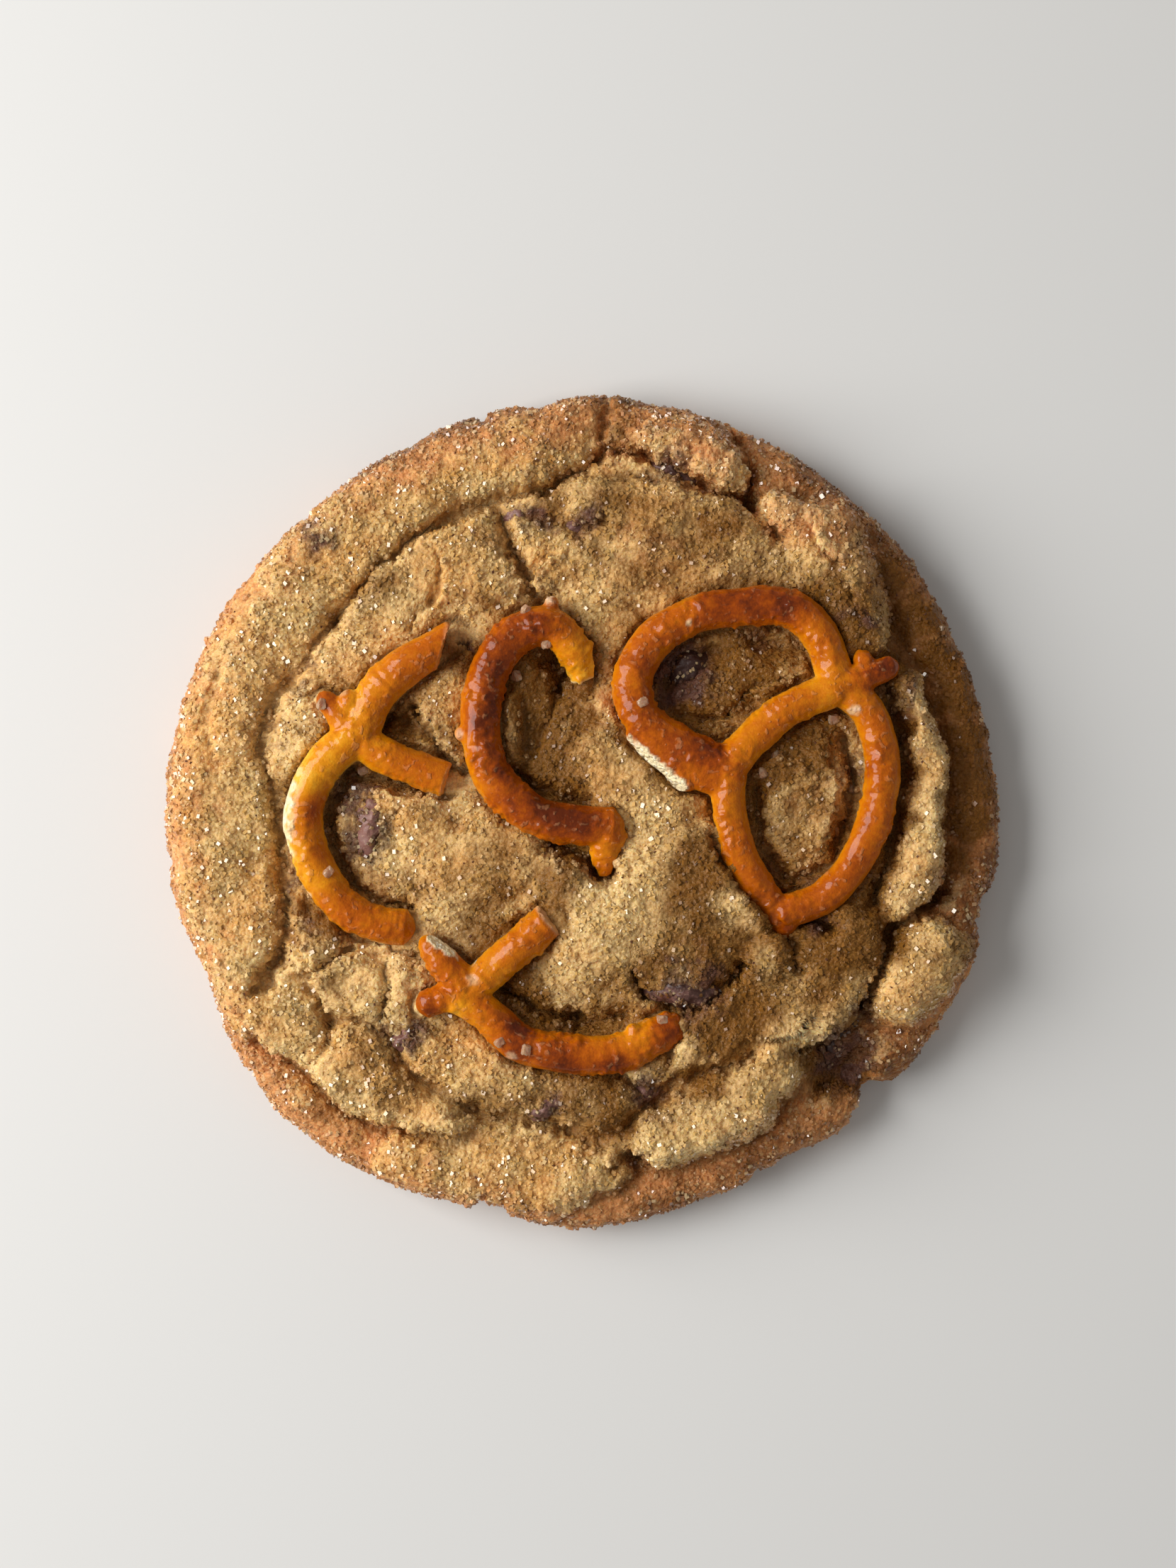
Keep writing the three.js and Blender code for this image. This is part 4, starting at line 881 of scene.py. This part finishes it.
wall_radius = np.where(
    above, shoulder + SHOULDER * np.sin(turn), outline - FOOT_INSET * (1 - np.sin(turn)) / (1 - foot_sine)
)
net_radius = np.where(on_top, shoulder * ring / brow, wall_radius)
brim = np.where(on_top, net_radius, shoulder + BRIM_SHARE * SHOULDER * np.sin(np.minimum(turn, np.pi / 2)))


def net_noise(points, size, octaves, seed):
    """Noise at each point of the net. Each call below has a seed of its own, as its last number."""
    return noise_at(points.reshape(-1, 3), size, octaves, seed).reshape(ring.shape)


brim_x, brim_y = brim * cos_a, brim * sin_a
plan = np.stack([brim_x, brim_y, np.zeros(ring.shape)], -1)
wander_x = net_noise(plan, 3.0, 4, 11.0) + 0.4 * net_noise(plan, 1.1, 2, 13.0)
wander_y = net_noise(plan, 3.0, 4, 23.0) + 0.4 * net_noise(plan, 1.1, 2, 29.0)
plan_x, plan_y = brim_x + RAGGED * wander_x, brim_y + RAGGED * wander_y
height = crust_height(plan_x, plan_y)
clearance = strand_clearance(brim_x, brim_y)
pulled_away = np.clip(0.45 + 0.9 * net_noise(plan, 4.0, 2, 31.0), 0, 1)
covered = spots(brim_x, brim_y, COVERED)
height -= GAP_DEPTH * pulled_away * (1 - covered) * np.exp(-((clearance - 0.05) / GAP_WIDTH) ** 2)
wall_z = np.where(
    above,
    WIDEST_Z + (height - WIDEST_Z) * np.cos(np.minimum(turn, np.pi / 2)) ** WALL_FULLNESS,
    WIDEST_Z * (1 - np.cos(turn) / math.cos(math.radians(WALL_TURN))),
)
net_z = np.where(on_top, height, wall_z)
surface = np.stack([net_radius * cos_a, net_radius * sin_a, net_z], -1)

# the grain of the crust: pebbles, hair cracks and pits, pushed out along the surface
du, dv = np.gradient(surface, axis=(0, 1))
facing = np.cross(du, dv)
facing /= np.linalg.norm(facing, axis=-1)[..., None] + 1e-12
smooth = surface  # before the grain is pushed out
lumps = net_noise(smooth, 5.5, 2, 41.0)
pebbles = net_noise(smooth, 1.7, 2, 43.0)
pits = net_noise(smooth, 0.75, 2, 47.0)
seams = net_noise(smooth, 4.2, 3, 53.0)
patches = smoothstep(-0.1, 0.35, net_noise(smooth, 9.0, 1, 59.0))
hair_cracks = np.exp(-((seams / 0.045) ** 2)) * patches
torn = torn_edge(plan_x, plan_y)
# torn places have more pebbles and pits than the whole crust, all in millimetres
grain = 0.34 * lumps + (0.2 + 0.16 * torn) * pebbles + (0.17 + 0.2 * torn) * pits - 0.34 * hair_cracks
settled = smoothstep(0.0, 1.2, net_z)
surface = surface + facing * (grain * settled)[..., None]
surface[..., 2] = np.maximum(surface[..., 2], 0)
surface[ring > 1 - 1e-9, 2] = 0

# depth below the crust round each place, under 0 on crests: thinner sugar and painted shade in hollows, painted
# light on crests
level = softened(softened(net_z + 0.4 * grain, HOLLOW_REACH), HOLLOW_REACH)
hollow_shade = np.where(ring < brow, np.clip((level - net_z - 0.4 * grain) / HOLLOW_DEPTH, -1, 1), 0)

# the masks that the materials and the scattered grains read
flat_x, flat_y = surface[..., 0], surface[..., 1]
plan_radius = np.hypot(flat_x, flat_y)
toward_edge = smoothstep(outline - 9, outline - 0.5, plan_radius)
low_skirt = smoothstep(9.2, 7.6, net_z) * smoothstep(38, 43, plan_radius)
browned_and_shaded = np.clip(0.5 * toward_edge + 0.5 * low_skirt + spots(flat_x, flat_y, BROWNED_AND_SHADED), 0, 1.4)
pale = spots(flat_x, flat_y, PALE_AND_LIT)
# the damp mask: moist dough, with painted shade on the east slopes and skirt and in the loops
damp_and_shade = spots(flat_x + 1.4 * wander_x, flat_y + 1.4 * wander_y, DAMP_AND_SHADE)
# a darker band beside the strands: partly butter and glaze in the dough, partly painted shade cast by the strands
beside = np.exp(-((np.clip(clearance, 0, None) / 0.9) ** 2))
# moist patches over the plateau, plus painted shade that darkens the crust towards the east, away from the window
moist_and_east_shade = 0.34 + 0.55 * net_noise(smooth, 7.0, 2, 89.0) + 0.2 * smoothstep(-25, 30, flat_x)
moist_and_east_shade *= smoothstep(42, 35, plan_radius)
damp_and_shade = np.clip(damp_and_shade + 0.3 * beside + np.clip(moist_and_east_shade, 0, 1) * np.clip(1 - pale, 0, 1), 0, 1.3)
stained = spots(flat_x + 1.2 * wander_y, flat_y + 1.2 * wander_x, STAINED)
sugared = 0.75 + 0.4 * lumps + 0.7 * net_noise(smooth, 3.6, 2, 83.0)
sugared = np.clip(sugared - 0.5 * np.clip(hollow_shade, 0, 1) - 0.3 * low_skirt - 0.2 * damp_and_shade, 0.1, 1.4)
sugared *= 1 - 0.85 * smoothstep(0.75, 0.95, torn)
sugared *= np.maximum(smoothstep(-0.2, 0.3, clearance), covered) * smoothstep(1.0, 4.0, net_z)
crumbled = 0.5 * smoothstep(0.35, 0.9, torn) * smoothstep(-0.1, 0.3, pebbles)
crumbled = np.clip(crumbled + spots(flat_x, flat_y, CRUMBLED), 0, 1)
crumbled *= smoothstep(-0.2, 0.3, clearance) * smoothstep(3.0, 7.0, net_z)

# the net's faces, and a flat base that joins its edge to a point on the tray
count = CRUST_CELLS + 1
index = np.arange(count * count).reshape(count, count)
quads = np.stack([index[:-1, :-1], index[1:, :-1], index[1:, 1:], index[:-1, 1:]], -1).reshape(-1, 4)
loop = np.concatenate([index[:, 0], index[-1, 1:], index[-2::-1, -1], index[0, -2:0:-1]])
tray_point = count * count
base = [(int(b), int(a), tray_point) for a, b in zip(loop, np.roll(loop, -1))]
dough_mesh = bpy.data.meshes.new("dough_crust")
dough_points = np.vstack([surface.reshape(-1, 3), [[0, 0, 0]]]) * MM  # the last is the tray point
dough_mesh.from_pydata(dough_points.tolist(), [], quads.tolist() + base)
set_masks(dough_mesh, {
    name: np.append(values.ravel(), 0.0)
    for name, values in {
        "browned_and_shaded": browned_and_shaded, "pale": pale, "damp_and_shade": damp_and_shade, "stained": stained, "hollow_shade": hollow_shade,
        "sugared": sugared, "crumbled": crumbled,
    }.items()
})

# The colours of the crust, from pale gold to dark brown, shared by the dough, its sugar and its crumbs, with
# painted shade and painted light among them. The masks are painted on the crust, and the sugar and crumbs carry
# them along.
CRUST_MASKS = ("browned_and_shaded", "pale", "damp_and_shade", "stained", "hollow_shade")
tint = bpy.data.node_groups.new("crust colour", "ShaderNodeTree")
for name in CRUST_MASKS:
    tint.interface.new_socket(name, in_out="INPUT", socket_type="NodeSocketFloat")
tint.interface.new_socket("Colour", in_out="OUTPUT", socket_type="NodeSocketColor")
tint_in = add_node(tint, "NodeGroupInput").outputs
broad = noise_texture(tint, 7.0, 2.0)
patchy = noise_texture(tint, 2.2, 3.0, 0.6)
colour = mixed(tint, ranged(tint, broad, 0.36, 0.64), (0.74, 0.40, 0.13), (0.76, 0.49, 0.20))
colour = mixed(tint, ranged(tint, patchy, 0.5, 0.75, 0.0, 0.45), colour, (0.66, 0.29, 0.07))
# pale gold under thick sugar, and painted light where the pale spots stand for lit places
colour = mixed(tint, ranged(tint, tint_in["pale"], 0.0, 0.8, 0.0, 0.8), colour, (0.89, 0.60, 0.265))
# browned crust, and at its darkest painted shade on the east skirt and under the crescent's end
browning_and_shade = reckon(tint, "ADD", tint_in["browned_and_shaded"], ranged(tint, patchy, 0.3, 0.75, -0.22, 0.3))
colour = mixed(tint, ranged(tint, browning_and_shade, 0.1, 0.9), colour, (0.66, 0.285, 0.10))
colour = mixed(tint, ranged(tint, browning_and_shade, 0.8, 1.6), colour, (0.27, 0.10, 0.028))
# painted light: crests paler
colour = mixed(tint, ranged(tint, tint_in["hollow_shade"], -0.1, -0.7, 0.0, 0.3), colour, (0.90, 0.64, 0.31))
# dark brown for the damp mask: moist crust, and painted shade where the mask stands for shadow
dampness_and_shade = reckon(tint, "ADD", tint_in["damp_and_shade"], ranged(tint, patchy, 0.3, 0.7, -0.15, 0.15))
colour = mixed(tint, ranged(tint, dampness_and_shade, 0.05, 1.0, 0.0, 0.93), colour, (0.20, 0.078, 0.008))
staining = reckon(tint, "ADD", tint_in["stained"], ranged(tint, patchy, 0.3, 0.7, -0.25, 0.25))
colour = mixed(tint, ranged(tint, staining, 0.12, 0.85, 0.0, 0.9), colour, (0.115, 0.050, 0.036))
# painted shade: hollows darker
colour = mixed(tint, ranged(tint, tint_in["hollow_shade"], 0.1, 0.9, 0.0, 0.5), colour, (0.23, 0.095, 0.022))
tint.links.new(colour, add_node(tint, "NodeGroupOutput").inputs["Colour"])


def crust_colour(tree):
    """The crust's colour at each point of a piece that carries the crust's masks."""
    masks = {name: mask(tree, name) for name in CRUST_MASKS}
    return add_node(tree, "ShaderNodeGroup", masks, node_tree=tint).outputs["Colour"]


crust, tree, shader = new_material("sugared dough crust")
fine = noise_texture(tree, 0.5, 2.0, 0.65)
damp_and_shade = mask(tree, "damp_and_shade")
crumb_grains, crumb_height = open_crumb(tree, 0.55)
colour = mixed(tree, 1.0, crust_colour(tree), ranged(tree, fine, 0.3, 0.6, 0.84, 1.12), "MULTIPLY")
crumb_share = reckon(tree, "MULTIPLY", crumb_grains, ranged(tree, damp_and_shade, 0.0, 0.9, 0.3, 0.0))
feed(tree, shader, {
    "Base Color": mixed(tree, crumb_share, colour, (0.86, 0.64, 0.31)),
    "Roughness": reckon(
        tree, "SUBTRACT", ranged(tree, fine, 0.3, 0.7, 0.24, 0.5), ranged(tree, damp_and_shade, 0.2, 1.0, 0.0, 0.1)
    ),
    "Specular IOR Level": 0.15, "Subsurface Weight": 0.8, "Subsurface Radius": (1.0, 0.85, 0.6),
    "Subsurface Scale": 0.9 * MM, "Normal": bump(tree, reckon(tree, "ADD", fine, crumb_height), 0.9, 0.26),
})

dough = show("dough_crust", dough_mesh, crust)
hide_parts("dough")

# ==== Chocolate chips ========================================================================
# Dark chocolate chips, stirred into the dough. They melted under the crust and set again, and
# show through the cracks as dull purple-brown lumps.

CHIP_HALF_HEIGHT = 2.4
CHIP_RINGS, CHIP_SIDES = 30, 44
# [x, y, half length, half width, heading in degrees, how far the chip stands over the crust, how
# dull and dusted the chocolate is]
CHIPS = [
    [12.4, 17.4, 3.1, 2.6, 40, 1.4, 0], [-25, -1, 4.3, 2.1, 78, 1, 1], [12, -20.6, 4.6, 2.4, -4, 0.4, 0.3],
    [10.8, 40.6, 3, 1.5, -20, 0.6, 0.3], [-7.4, 35.5, 1.9, 1.5, 30, 0.4, 0.8], [0, 34.3, 2.2, 1.4, 0, 0.4, 0.4],
    [-4.2, -34.6, 2.5, 1.6, 24, 0.5, 0.6], [-21, -26.4, 2, 1.3, 40, 0.4, 0.7], [31.3, -26.2, 3.6, 2.6, 50, 0.6, 0],
    [7.8, -32.9, 2.6, 1.4, 18, 0.4, 0.4],
]

chocolate, tree, shader = new_material("set dark chocolate")
bloom = noise_texture(tree, 1.6, 3.0, 0.65)
dust = noise_texture(tree, 0.35, 2.0, 0.6)
dull = reckon(tree, "ADD", mask(tree, "dull"), ranged(tree, bloom, 0.35, 0.7, -0.25, 0.25))
colour = mixed(tree, ranged(tree, dull, 0.0, 1.0), (0.045, 0.015, 0.010), (0.24, 0.105, 0.080))
powder = reckon(tree, "MULTIPLY", ranged(tree, dust, 0.55, 0.7, 0.0, 0.6), ranged(tree, dull, 0.0, 1.0, 0.3, 1.0))
feed(tree, shader, {
    "Base Color": mixed(tree, powder, colour, (0.46, 0.29, 0.20)),
    "Roughness": ranged(tree, bloom, 0.3, 0.7, 0.34, 0.62), "Normal": bump(tree, dust, 0.5, 0.15),
})

chip_points, chip_faces = [], []
for number, (x, y, long, wide, heading, proud, dull) in enumerate(CHIPS, 1):
    verts, faces = [], []
    add_ball(verts, faces, (0, 0, 0), 1.0, CHIP_RINGS, CHIP_SIDES)
    co = np.array(verts)
    squared = np.abs(co) ** 0.86 * np.sign(co)  # a rounded block rather than an egg
    co = squared / np.linalg.norm(squared, axis=1)[:, None] ** 0.6
    co *= (long, wide, CHIP_HALF_HEIGHT)
    turned = math.radians(heading)
    ahead, aside = (math.cos(turned), math.sin(turned), 0), (-math.sin(turned), math.cos(turned), 0)
    level = crust_height(np.array([float(x)]), np.array([float(y)]))[0] + proud - CHIP_HALF_HEIGHT
    co = co @ np.array([ahead, aside, (0, 0, 1)]) + (x, y, level)
    outward = co - (x, y, level)
    outward /= np.linalg.norm(outward, axis=1)[:, None]
    co += outward * (0.6 * noise_at(co, 2.2, 3, 61.0) + 0.14 * noise_at(co, 0.7, 2, 67.0))[:, None]
    chip_faces += [tuple(len(chip_points) + i for i in face) for face in faces]
    chip_points += (co * MM).tolist()
    chip_mesh = bpy.data.meshes.new(f"melted_chip_{number}")
    chip_mesh.from_pydata((co * MM).tolist(), [], faces)
    set_masks(chip_mesh, {"dull": np.full(len(co), dull)})
    chip = show(f"melted_chip_{number}", chip_mesh, chocolate)
    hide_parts(f"chocolate_chip_{number}")

# ==== Sugar, cinnamon and crumbs =============================================================
# The ball of dough was rolled in granulated sugar and ground cinnamon. The crystals stayed whole
# on the crust, the cinnamon shows as dark specks, and crumbs lie where the crust tore.


def scatter_tree(name, shape):
    """A tree that scatters small grains over a surface, thickest where the named mask is high."""
    made = bpy.data.node_groups.new(name, "GeometryNodeTree")
    made.is_modifier = True
    made.interface.new_socket("Surface", in_out="INPUT", socket_type="NodeSocketGeometry")
    for label, kind in (
        ("Grains per square metre", "Float"), ("Mask", "String"), ("Smallest", "Float"), ("Largest", "Float"),
        ("Proportions", "Vector"), ("Seed", "Int"), ("Tone seed", "Int"), ("Finish", "Material"),
    ):
        made.interface.new_socket(label, in_out="INPUT", socket_type=f"NodeSocket{kind}")
    made.interface.new_socket("Grains", in_out="OUTPUT", socket_type="NodeSocketGeometry")
    given = add_node(made, "NodeGroupInput").outputs

    def drawn(kind, seed, low, high):
        """A random value for each grain."""
        keys = (0, 1) if kind == "FLOAT_VECTOR" else (2, 3)
        node = add_node(
            made, "FunctionNodeRandomValue", {keys[0]: low, keys[1]: high, "Seed": given[seed]}, data_type=kind
        )
        return node.outputs[keys[0] // 2]

    def kept(points, label, kind, values):
        """The points with a value of each one's own, under a name that the materials read."""
        inputs = {"Geometry": points, "Name": label, "Value": values}
        return add_node(made, "GeometryNodeStoreNamedAttribute", inputs, data_type=kind, domain="POINT").outputs[0]

    where = add_node(made, "GeometryNodeInputNamedAttribute", {"Name": given["Mask"]}, data_type="FLOAT")
    crowd = reckon(made, "MULTIPLY", given["Grains per square metre"], where.outputs[0])
    strewn = add_node(
        made, "GeometryNodeDistributePointsOnFaces",
        {"Mesh": given["Surface"], "Density": crowd, "Seed": given["Seed"]},
    ).outputs
    kind, inputs = {
        "block": ("MeshCube", {"Size": (1, 1, 1)}),
        "shard": ("MeshCone", {"Vertices": 3, "Radius Top": 0.0, "Radius Bottom": 0.62, "Depth": 0.9}),
        "pebble": ("MeshIcoSphere", {"Subdivisions": 1, "Radius": 0.5}),
    }[shape]
    grain = add_node(made, f"GeometryNode{kind}", inputs).outputs[0]
    grain = add_node(made, "GeometryNodeTransform", {"Geometry": grain, "Scale": given["Proportions"]}).outputs[0]
    tumble = drawn("FLOAT_VECTOR", "Seed", (0, 0, 0), (2 * math.pi,) * 3)
    growth = drawn("FLOAT", "Seed", given["Smallest"], given["Largest"])
    points = kept(strewn["Points"], "tone", "FLOAT", drawn("FLOAT", "Tone seed", 0.0, 1.0))
    points = kept(points, "ground", "FLOAT_VECTOR", strewn["Normal"])
    placed = add_node(
        made, "GeometryNodeInstanceOnPoints",
        {"Points": points, "Instance": grain, "Rotation": tumble, "Scale": growth},
    )
    real = add_node(made, "GeometryNodeRealizeInstances", {0: placed.outputs[0]})
    painted = add_node(made, "GeometryNodeSetMaterial", {0: real.outputs[0], "Material": given["Finish"]})
    add_node(made, "NodeGroupOutput", {"Grains": painted.outputs[0]})
    return made


def scatter(name, tree, surface_mesh, values):
    """Grains scattered over a copy of the surface, as a plain mesh."""
    host = stood(name, surface_mesh.copy())
    spread = host.modifiers.new("spread", "NODES")
    spread.node_group = tree
    for item in tree.interface.items_tree:
        if item.item_type == "SOCKET" and item.in_out == "INPUT" and item.name in values:
            spread[item.identifier] = values[item.name]
    return finished_mesh(host)


sugar, tree, shader = new_material("sugar crystal")
tone, damp_and_shade = mask(tree, "tone"), mask(tree, "damp_and_shade")
tinged = mixed(tree, ranged(tree, tone, 0.0, 0.8), (0.76, 0.70, 0.50), (1.02, 0.94, 0.70))
colour = mixed(tree, 1.0, crust_colour(tree), tinged, "MULTIPLY")
clear = reckon(tree, "MULTIPLY", ranged(tree, tone, 0.55, 1.0), ranged(tree, damp_and_shade, 0.0, 0.9, 0.5, 0.02))
colour = mixed(tree, clear, colour, (0.93, 0.74, 0.40))
# light passes through the clear crystals, so they shade with the crust and only their faces glint
ground = add_node(tree, "ShaderNodeAttribute", attribute_name="ground").outputs["Vector"]
face = add_node(tree, "ShaderNodeNewGeometry").outputs["Normal"]
leaning = add_node(tree, "ShaderNodeMix", {0: 0.5, 4: face, 5: ground}, data_type="VECTOR").outputs[1]
feed(tree, shader, {
    "Base Color": colour, "Roughness": 0.3, "Specular IOR Level": 0.1,
    "Coat Weight": ranged(tree, damp_and_shade, 0.0, 0.9, 0.9, 0.2), "Coat Roughness": 0.14, "Coat IOR": 1.95,
    "Normal": add_node(tree, "ShaderNodeVectorMath", {0: leaning}, operation="NORMALIZE").outputs[0],
})

cinnamon, tree, shader = new_material("ground cinnamon")
colour = mixed(tree, noise_texture(tree, 1.0), (0.07, 0.022, 0.008), (0.17, 0.06, 0.02))
feed(tree, shader, {"Base Color": colour, "Roughness": 0.8})

loose, tree, shader = new_material("loose crumb")
crumb_grains, crumb_height = open_crumb(tree, 0.35)
colour = mixed(tree, reckon(tree, "MULTIPLY", crumb_grains, 0.5), crust_colour(tree), (0.85, 0.62, 0.32))
feed(tree, shader, {"Base Color": colour, "Roughness": 0.55, "Normal": bump(tree, crumb_height, 0.8, 0.2)})

blocks = scatter_tree("strewn blocks", "block")
shards = scatter_tree("strewn shards", "shard")
pebbles_tree = scatter_tree("strewn crumbs", "pebble")
# the chips' own faces, for the sugar that stuck to the melted chocolate
chip_skin = bpy.data.meshes.new("chip_skin")
chip_skin.from_pydata(chip_points, [], chip_faces)
dusted = np.clip(0.5 + 0.9 * noise_at(rows_of(chip_skin.vertices, "co") / MM, 1.8, 1, 97.0), 0, 1)
set_masks(chip_skin, {"dusted": dusted, "stained": np.full(len(dusted), 0.8)})

# name, tree, surface, grains per square metre, mask, smallest and largest in millimetres,
# proportions, seed, material
for name, tree, surface_mesh, density, where, smallest, largest, proportions, seed, finish in (
    ("sugar_crystals", blocks, dough_mesh, 2.0e6, "sugared", 0.28, 0.6, (1.0, 0.85, 0.7), 4, sugar),
    ("sugar_shards", shards, dough_mesh, 3.2e6, "sugared", 0.24, 0.5, (1.0, 1.0, 1.0), 14, sugar),
    ("sugar_on_chips", blocks, chip_skin, 3.0e6, "dusted", 0.24, 0.5, (1.0, 0.85, 0.7), 31, sugar),
    ("cinnamon_specks", blocks, dough_mesh, 0.16e6, "sugared", 0.14, 0.34, (1.0, 0.8, 0.5), 9, cinnamon),
    ("loose_crumbs", pebbles_tree, dough_mesh, 1.0e6, "crumbled", 0.45, 1.3, (1.0, 0.85, 0.75), 21, loose),
):
    grains = scatter(name, tree, surface_mesh, {
        "Grains per square metre": density, "Mask": where, "Smallest": smallest * MM, "Largest": largest * MM,
        "Proportions": proportions, "Seed": seed, "Tone seed": seed + 1, "Finish": finish,
    })
    show(name, grains, finish, smooth=False)

# ==== Salt ===================================================================================
# Coarse rock salt from the pretzels, milky pink where it has taken up fat from the dough. Some
# grains still sit on the glaze, and others have come off on to the crust.

SALT_GRAIN = (1.4, 1.15, 0.9)  # length, width and height of a grain
SALT_WORN = 0.94  # what is left of them after rubbing
SALT_RISE = 0.1  # how far a grain's middle stands over its seat, by its height
ABOVE_ALL = 30  # a height from which to look down for the seat
DOWN = Vector((0, 0, -1))
# [x, y, turn in radians] of each grain
SALT = [
    [-29.8, -6.8, 0.9], [-30.6, 12.9, 1.4], [-4.2, 20, 0.3], [-6.6, 23.9, 1.1], [7, 13.1, 0.5], [-9.7, -26.7, 0.7],
    [-6.6, -27.6, 1.5], [9.4, -24.2, 0.1], [-26.1, 5.1, 0.4], [-7.8, 16.3, 1.9], [22.9, 6.9, 1.2], [21.3, 4.9, 2],
    [29.6, 11.2, 0.2], [32.2, 3, 1.6],
]

salt, tree, shader = new_material("rock salt")
veil = noise_texture(tree, 0.9, 3.0, 0.6)
colour = mixed(tree, ranged(tree, veil, 0.35, 0.7), (0.68, 0.37, 0.21), (0.86, 0.57, 0.37))
feed(tree, shader, {
    "Base Color": colour, "Roughness": 0.24, "IOR": 1.54, "Transmission Weight": 0.45,
    "Subsurface Weight": 0.6, "Subsurface Radius": (1.0, 0.75, 0.5), "Subsurface Scale": 1.0 * MM,
    "Normal": bump(tree, veil, 0.35, 0.2),
})

seats = []
for carrier in [dough, *pretzel_pieces]:
    points = [v.co for v in carrier.data.vertices]
    seats.append(BVHTree.FromPolygons(points, [tuple(p.vertices) for p in carrier.data.polygons]))
verts, faces = [], []
for number, (x, y, turn_by) in enumerate(SALT):
    touches = [seat.ray_cast(Vector((x * MM, y * MM, ABOVE_ALL * MM)), DOWN)[0] for seat in seats]
    top = max(t.z for t in touches if t) / MM
    first = len(verts)
    add_ball(verts, faces, (0, 0, 0), 1.0, rings=9, sides=12)
    co = np.array(verts[first:])
    co = np.sign(co) * np.abs(co) ** 0.6
    co *= 0.5 * np.array(SALT_GRAIN) * SALT_WORN
    co += 0.2 * np.stack([noise_at(co, 0.5, 1, 71.0 + number + 13 * k) for k in range(3)], -1)
    spin = np.array(Euler((0.5 * math.sin(turn_by), 0.2, turn_by)).to_matrix())
    co = co @ spin.T + (x, y, top + SALT_RISE * SALT_GRAIN[2])
    verts[first:] = list(co * MM)
salt_mesh = bpy.data.meshes.new("salt_grains")
salt_mesh.from_pydata([tuple(v) for v in verts], [], faces)
show("salt_grains", salt_mesh, salt, smooth=False)

# ==== The table, the light and the view ======================================================
# A plain pale table top, lit by one broad soft window from the upper left, with a little light
# from all round. The view looks straight down, as at a cookie on a counter.

TABLE_REACH = 3
CAMERA_HEIGHT = 0.300
VIEW_CENTRE = (0.64 * MM, 3.52 * MM)
FILM, LENS = 36, 56.1  # long side of the frame and focal length, both in millimetres
WINDOW_SIDE, WINDOW_DISTANCE, WINDOW_POWER = 0.48, 0.62, 5.35
WINDOW_FROM = math.radians(172)  # the side that the light comes from, anticlockwise from +X
WINDOW_RISE = math.radians(36)  # how high it stands over the table

table = bpy.data.meshes.new("table_top")
corners = ((-1, -1), (1, -1), (1, 1), (-1, 1))
table.from_pydata([(TABLE_REACH * x, TABLE_REACH * y, 0) for x, y in corners], [], [(0, 1, 2, 3)])
table_top = stood("table_top", table)
pale_top, tree, shader = new_material("plain pale top")
feed(tree, shader, {"Base Color": (0.74, 0.74, 0.73, 1), "Roughness": 0.7})
table.materials.append(pale_top)

window = bpy.data.lights.new("window", "AREA")
window.shape = "RECTANGLE"
window.size = window.size_y = WINDOW_SIDE
window.energy = WINDOW_POWER
window.color = (1.0, 0.985, 0.965)
window_stand = stood("window", window)
window_stand.location = WINDOW_DISTANCE * Vector((
    math.cos(WINDOW_FROM) * math.cos(WINDOW_RISE),
    math.sin(WINDOW_FROM) * math.cos(WINDOW_RISE),
    math.sin(WINDOW_RISE),
))
window_stand.rotation_mode = "QUATERNION"
window_stand.rotation_quaternion = (-Vector(window_stand.location)).to_track_quat("-Z", "Y")

world = bpy.data.worlds.new("room")
world.use_nodes = True
room = world.node_tree
feed(room, room.nodes["Background"], {"Color": (1.0, 0.975, 0.94, 1), "Strength": 0.28})
bpy.context.scene.world = world
bpy.context.scene.view_settings.view_transform = "Standard"

view = bpy.data.cameras.new("camera")
view.lens = LENS
view.sensor_width = FILM
view.sensor_fit = "AUTO"
view.clip_start = 0.01
view.clip_end = 10
camera = stood("camera", view)
camera.location = (*VIEW_CENTRE, CAMERA_HEIGHT)
bpy.context.scene.camera = camera
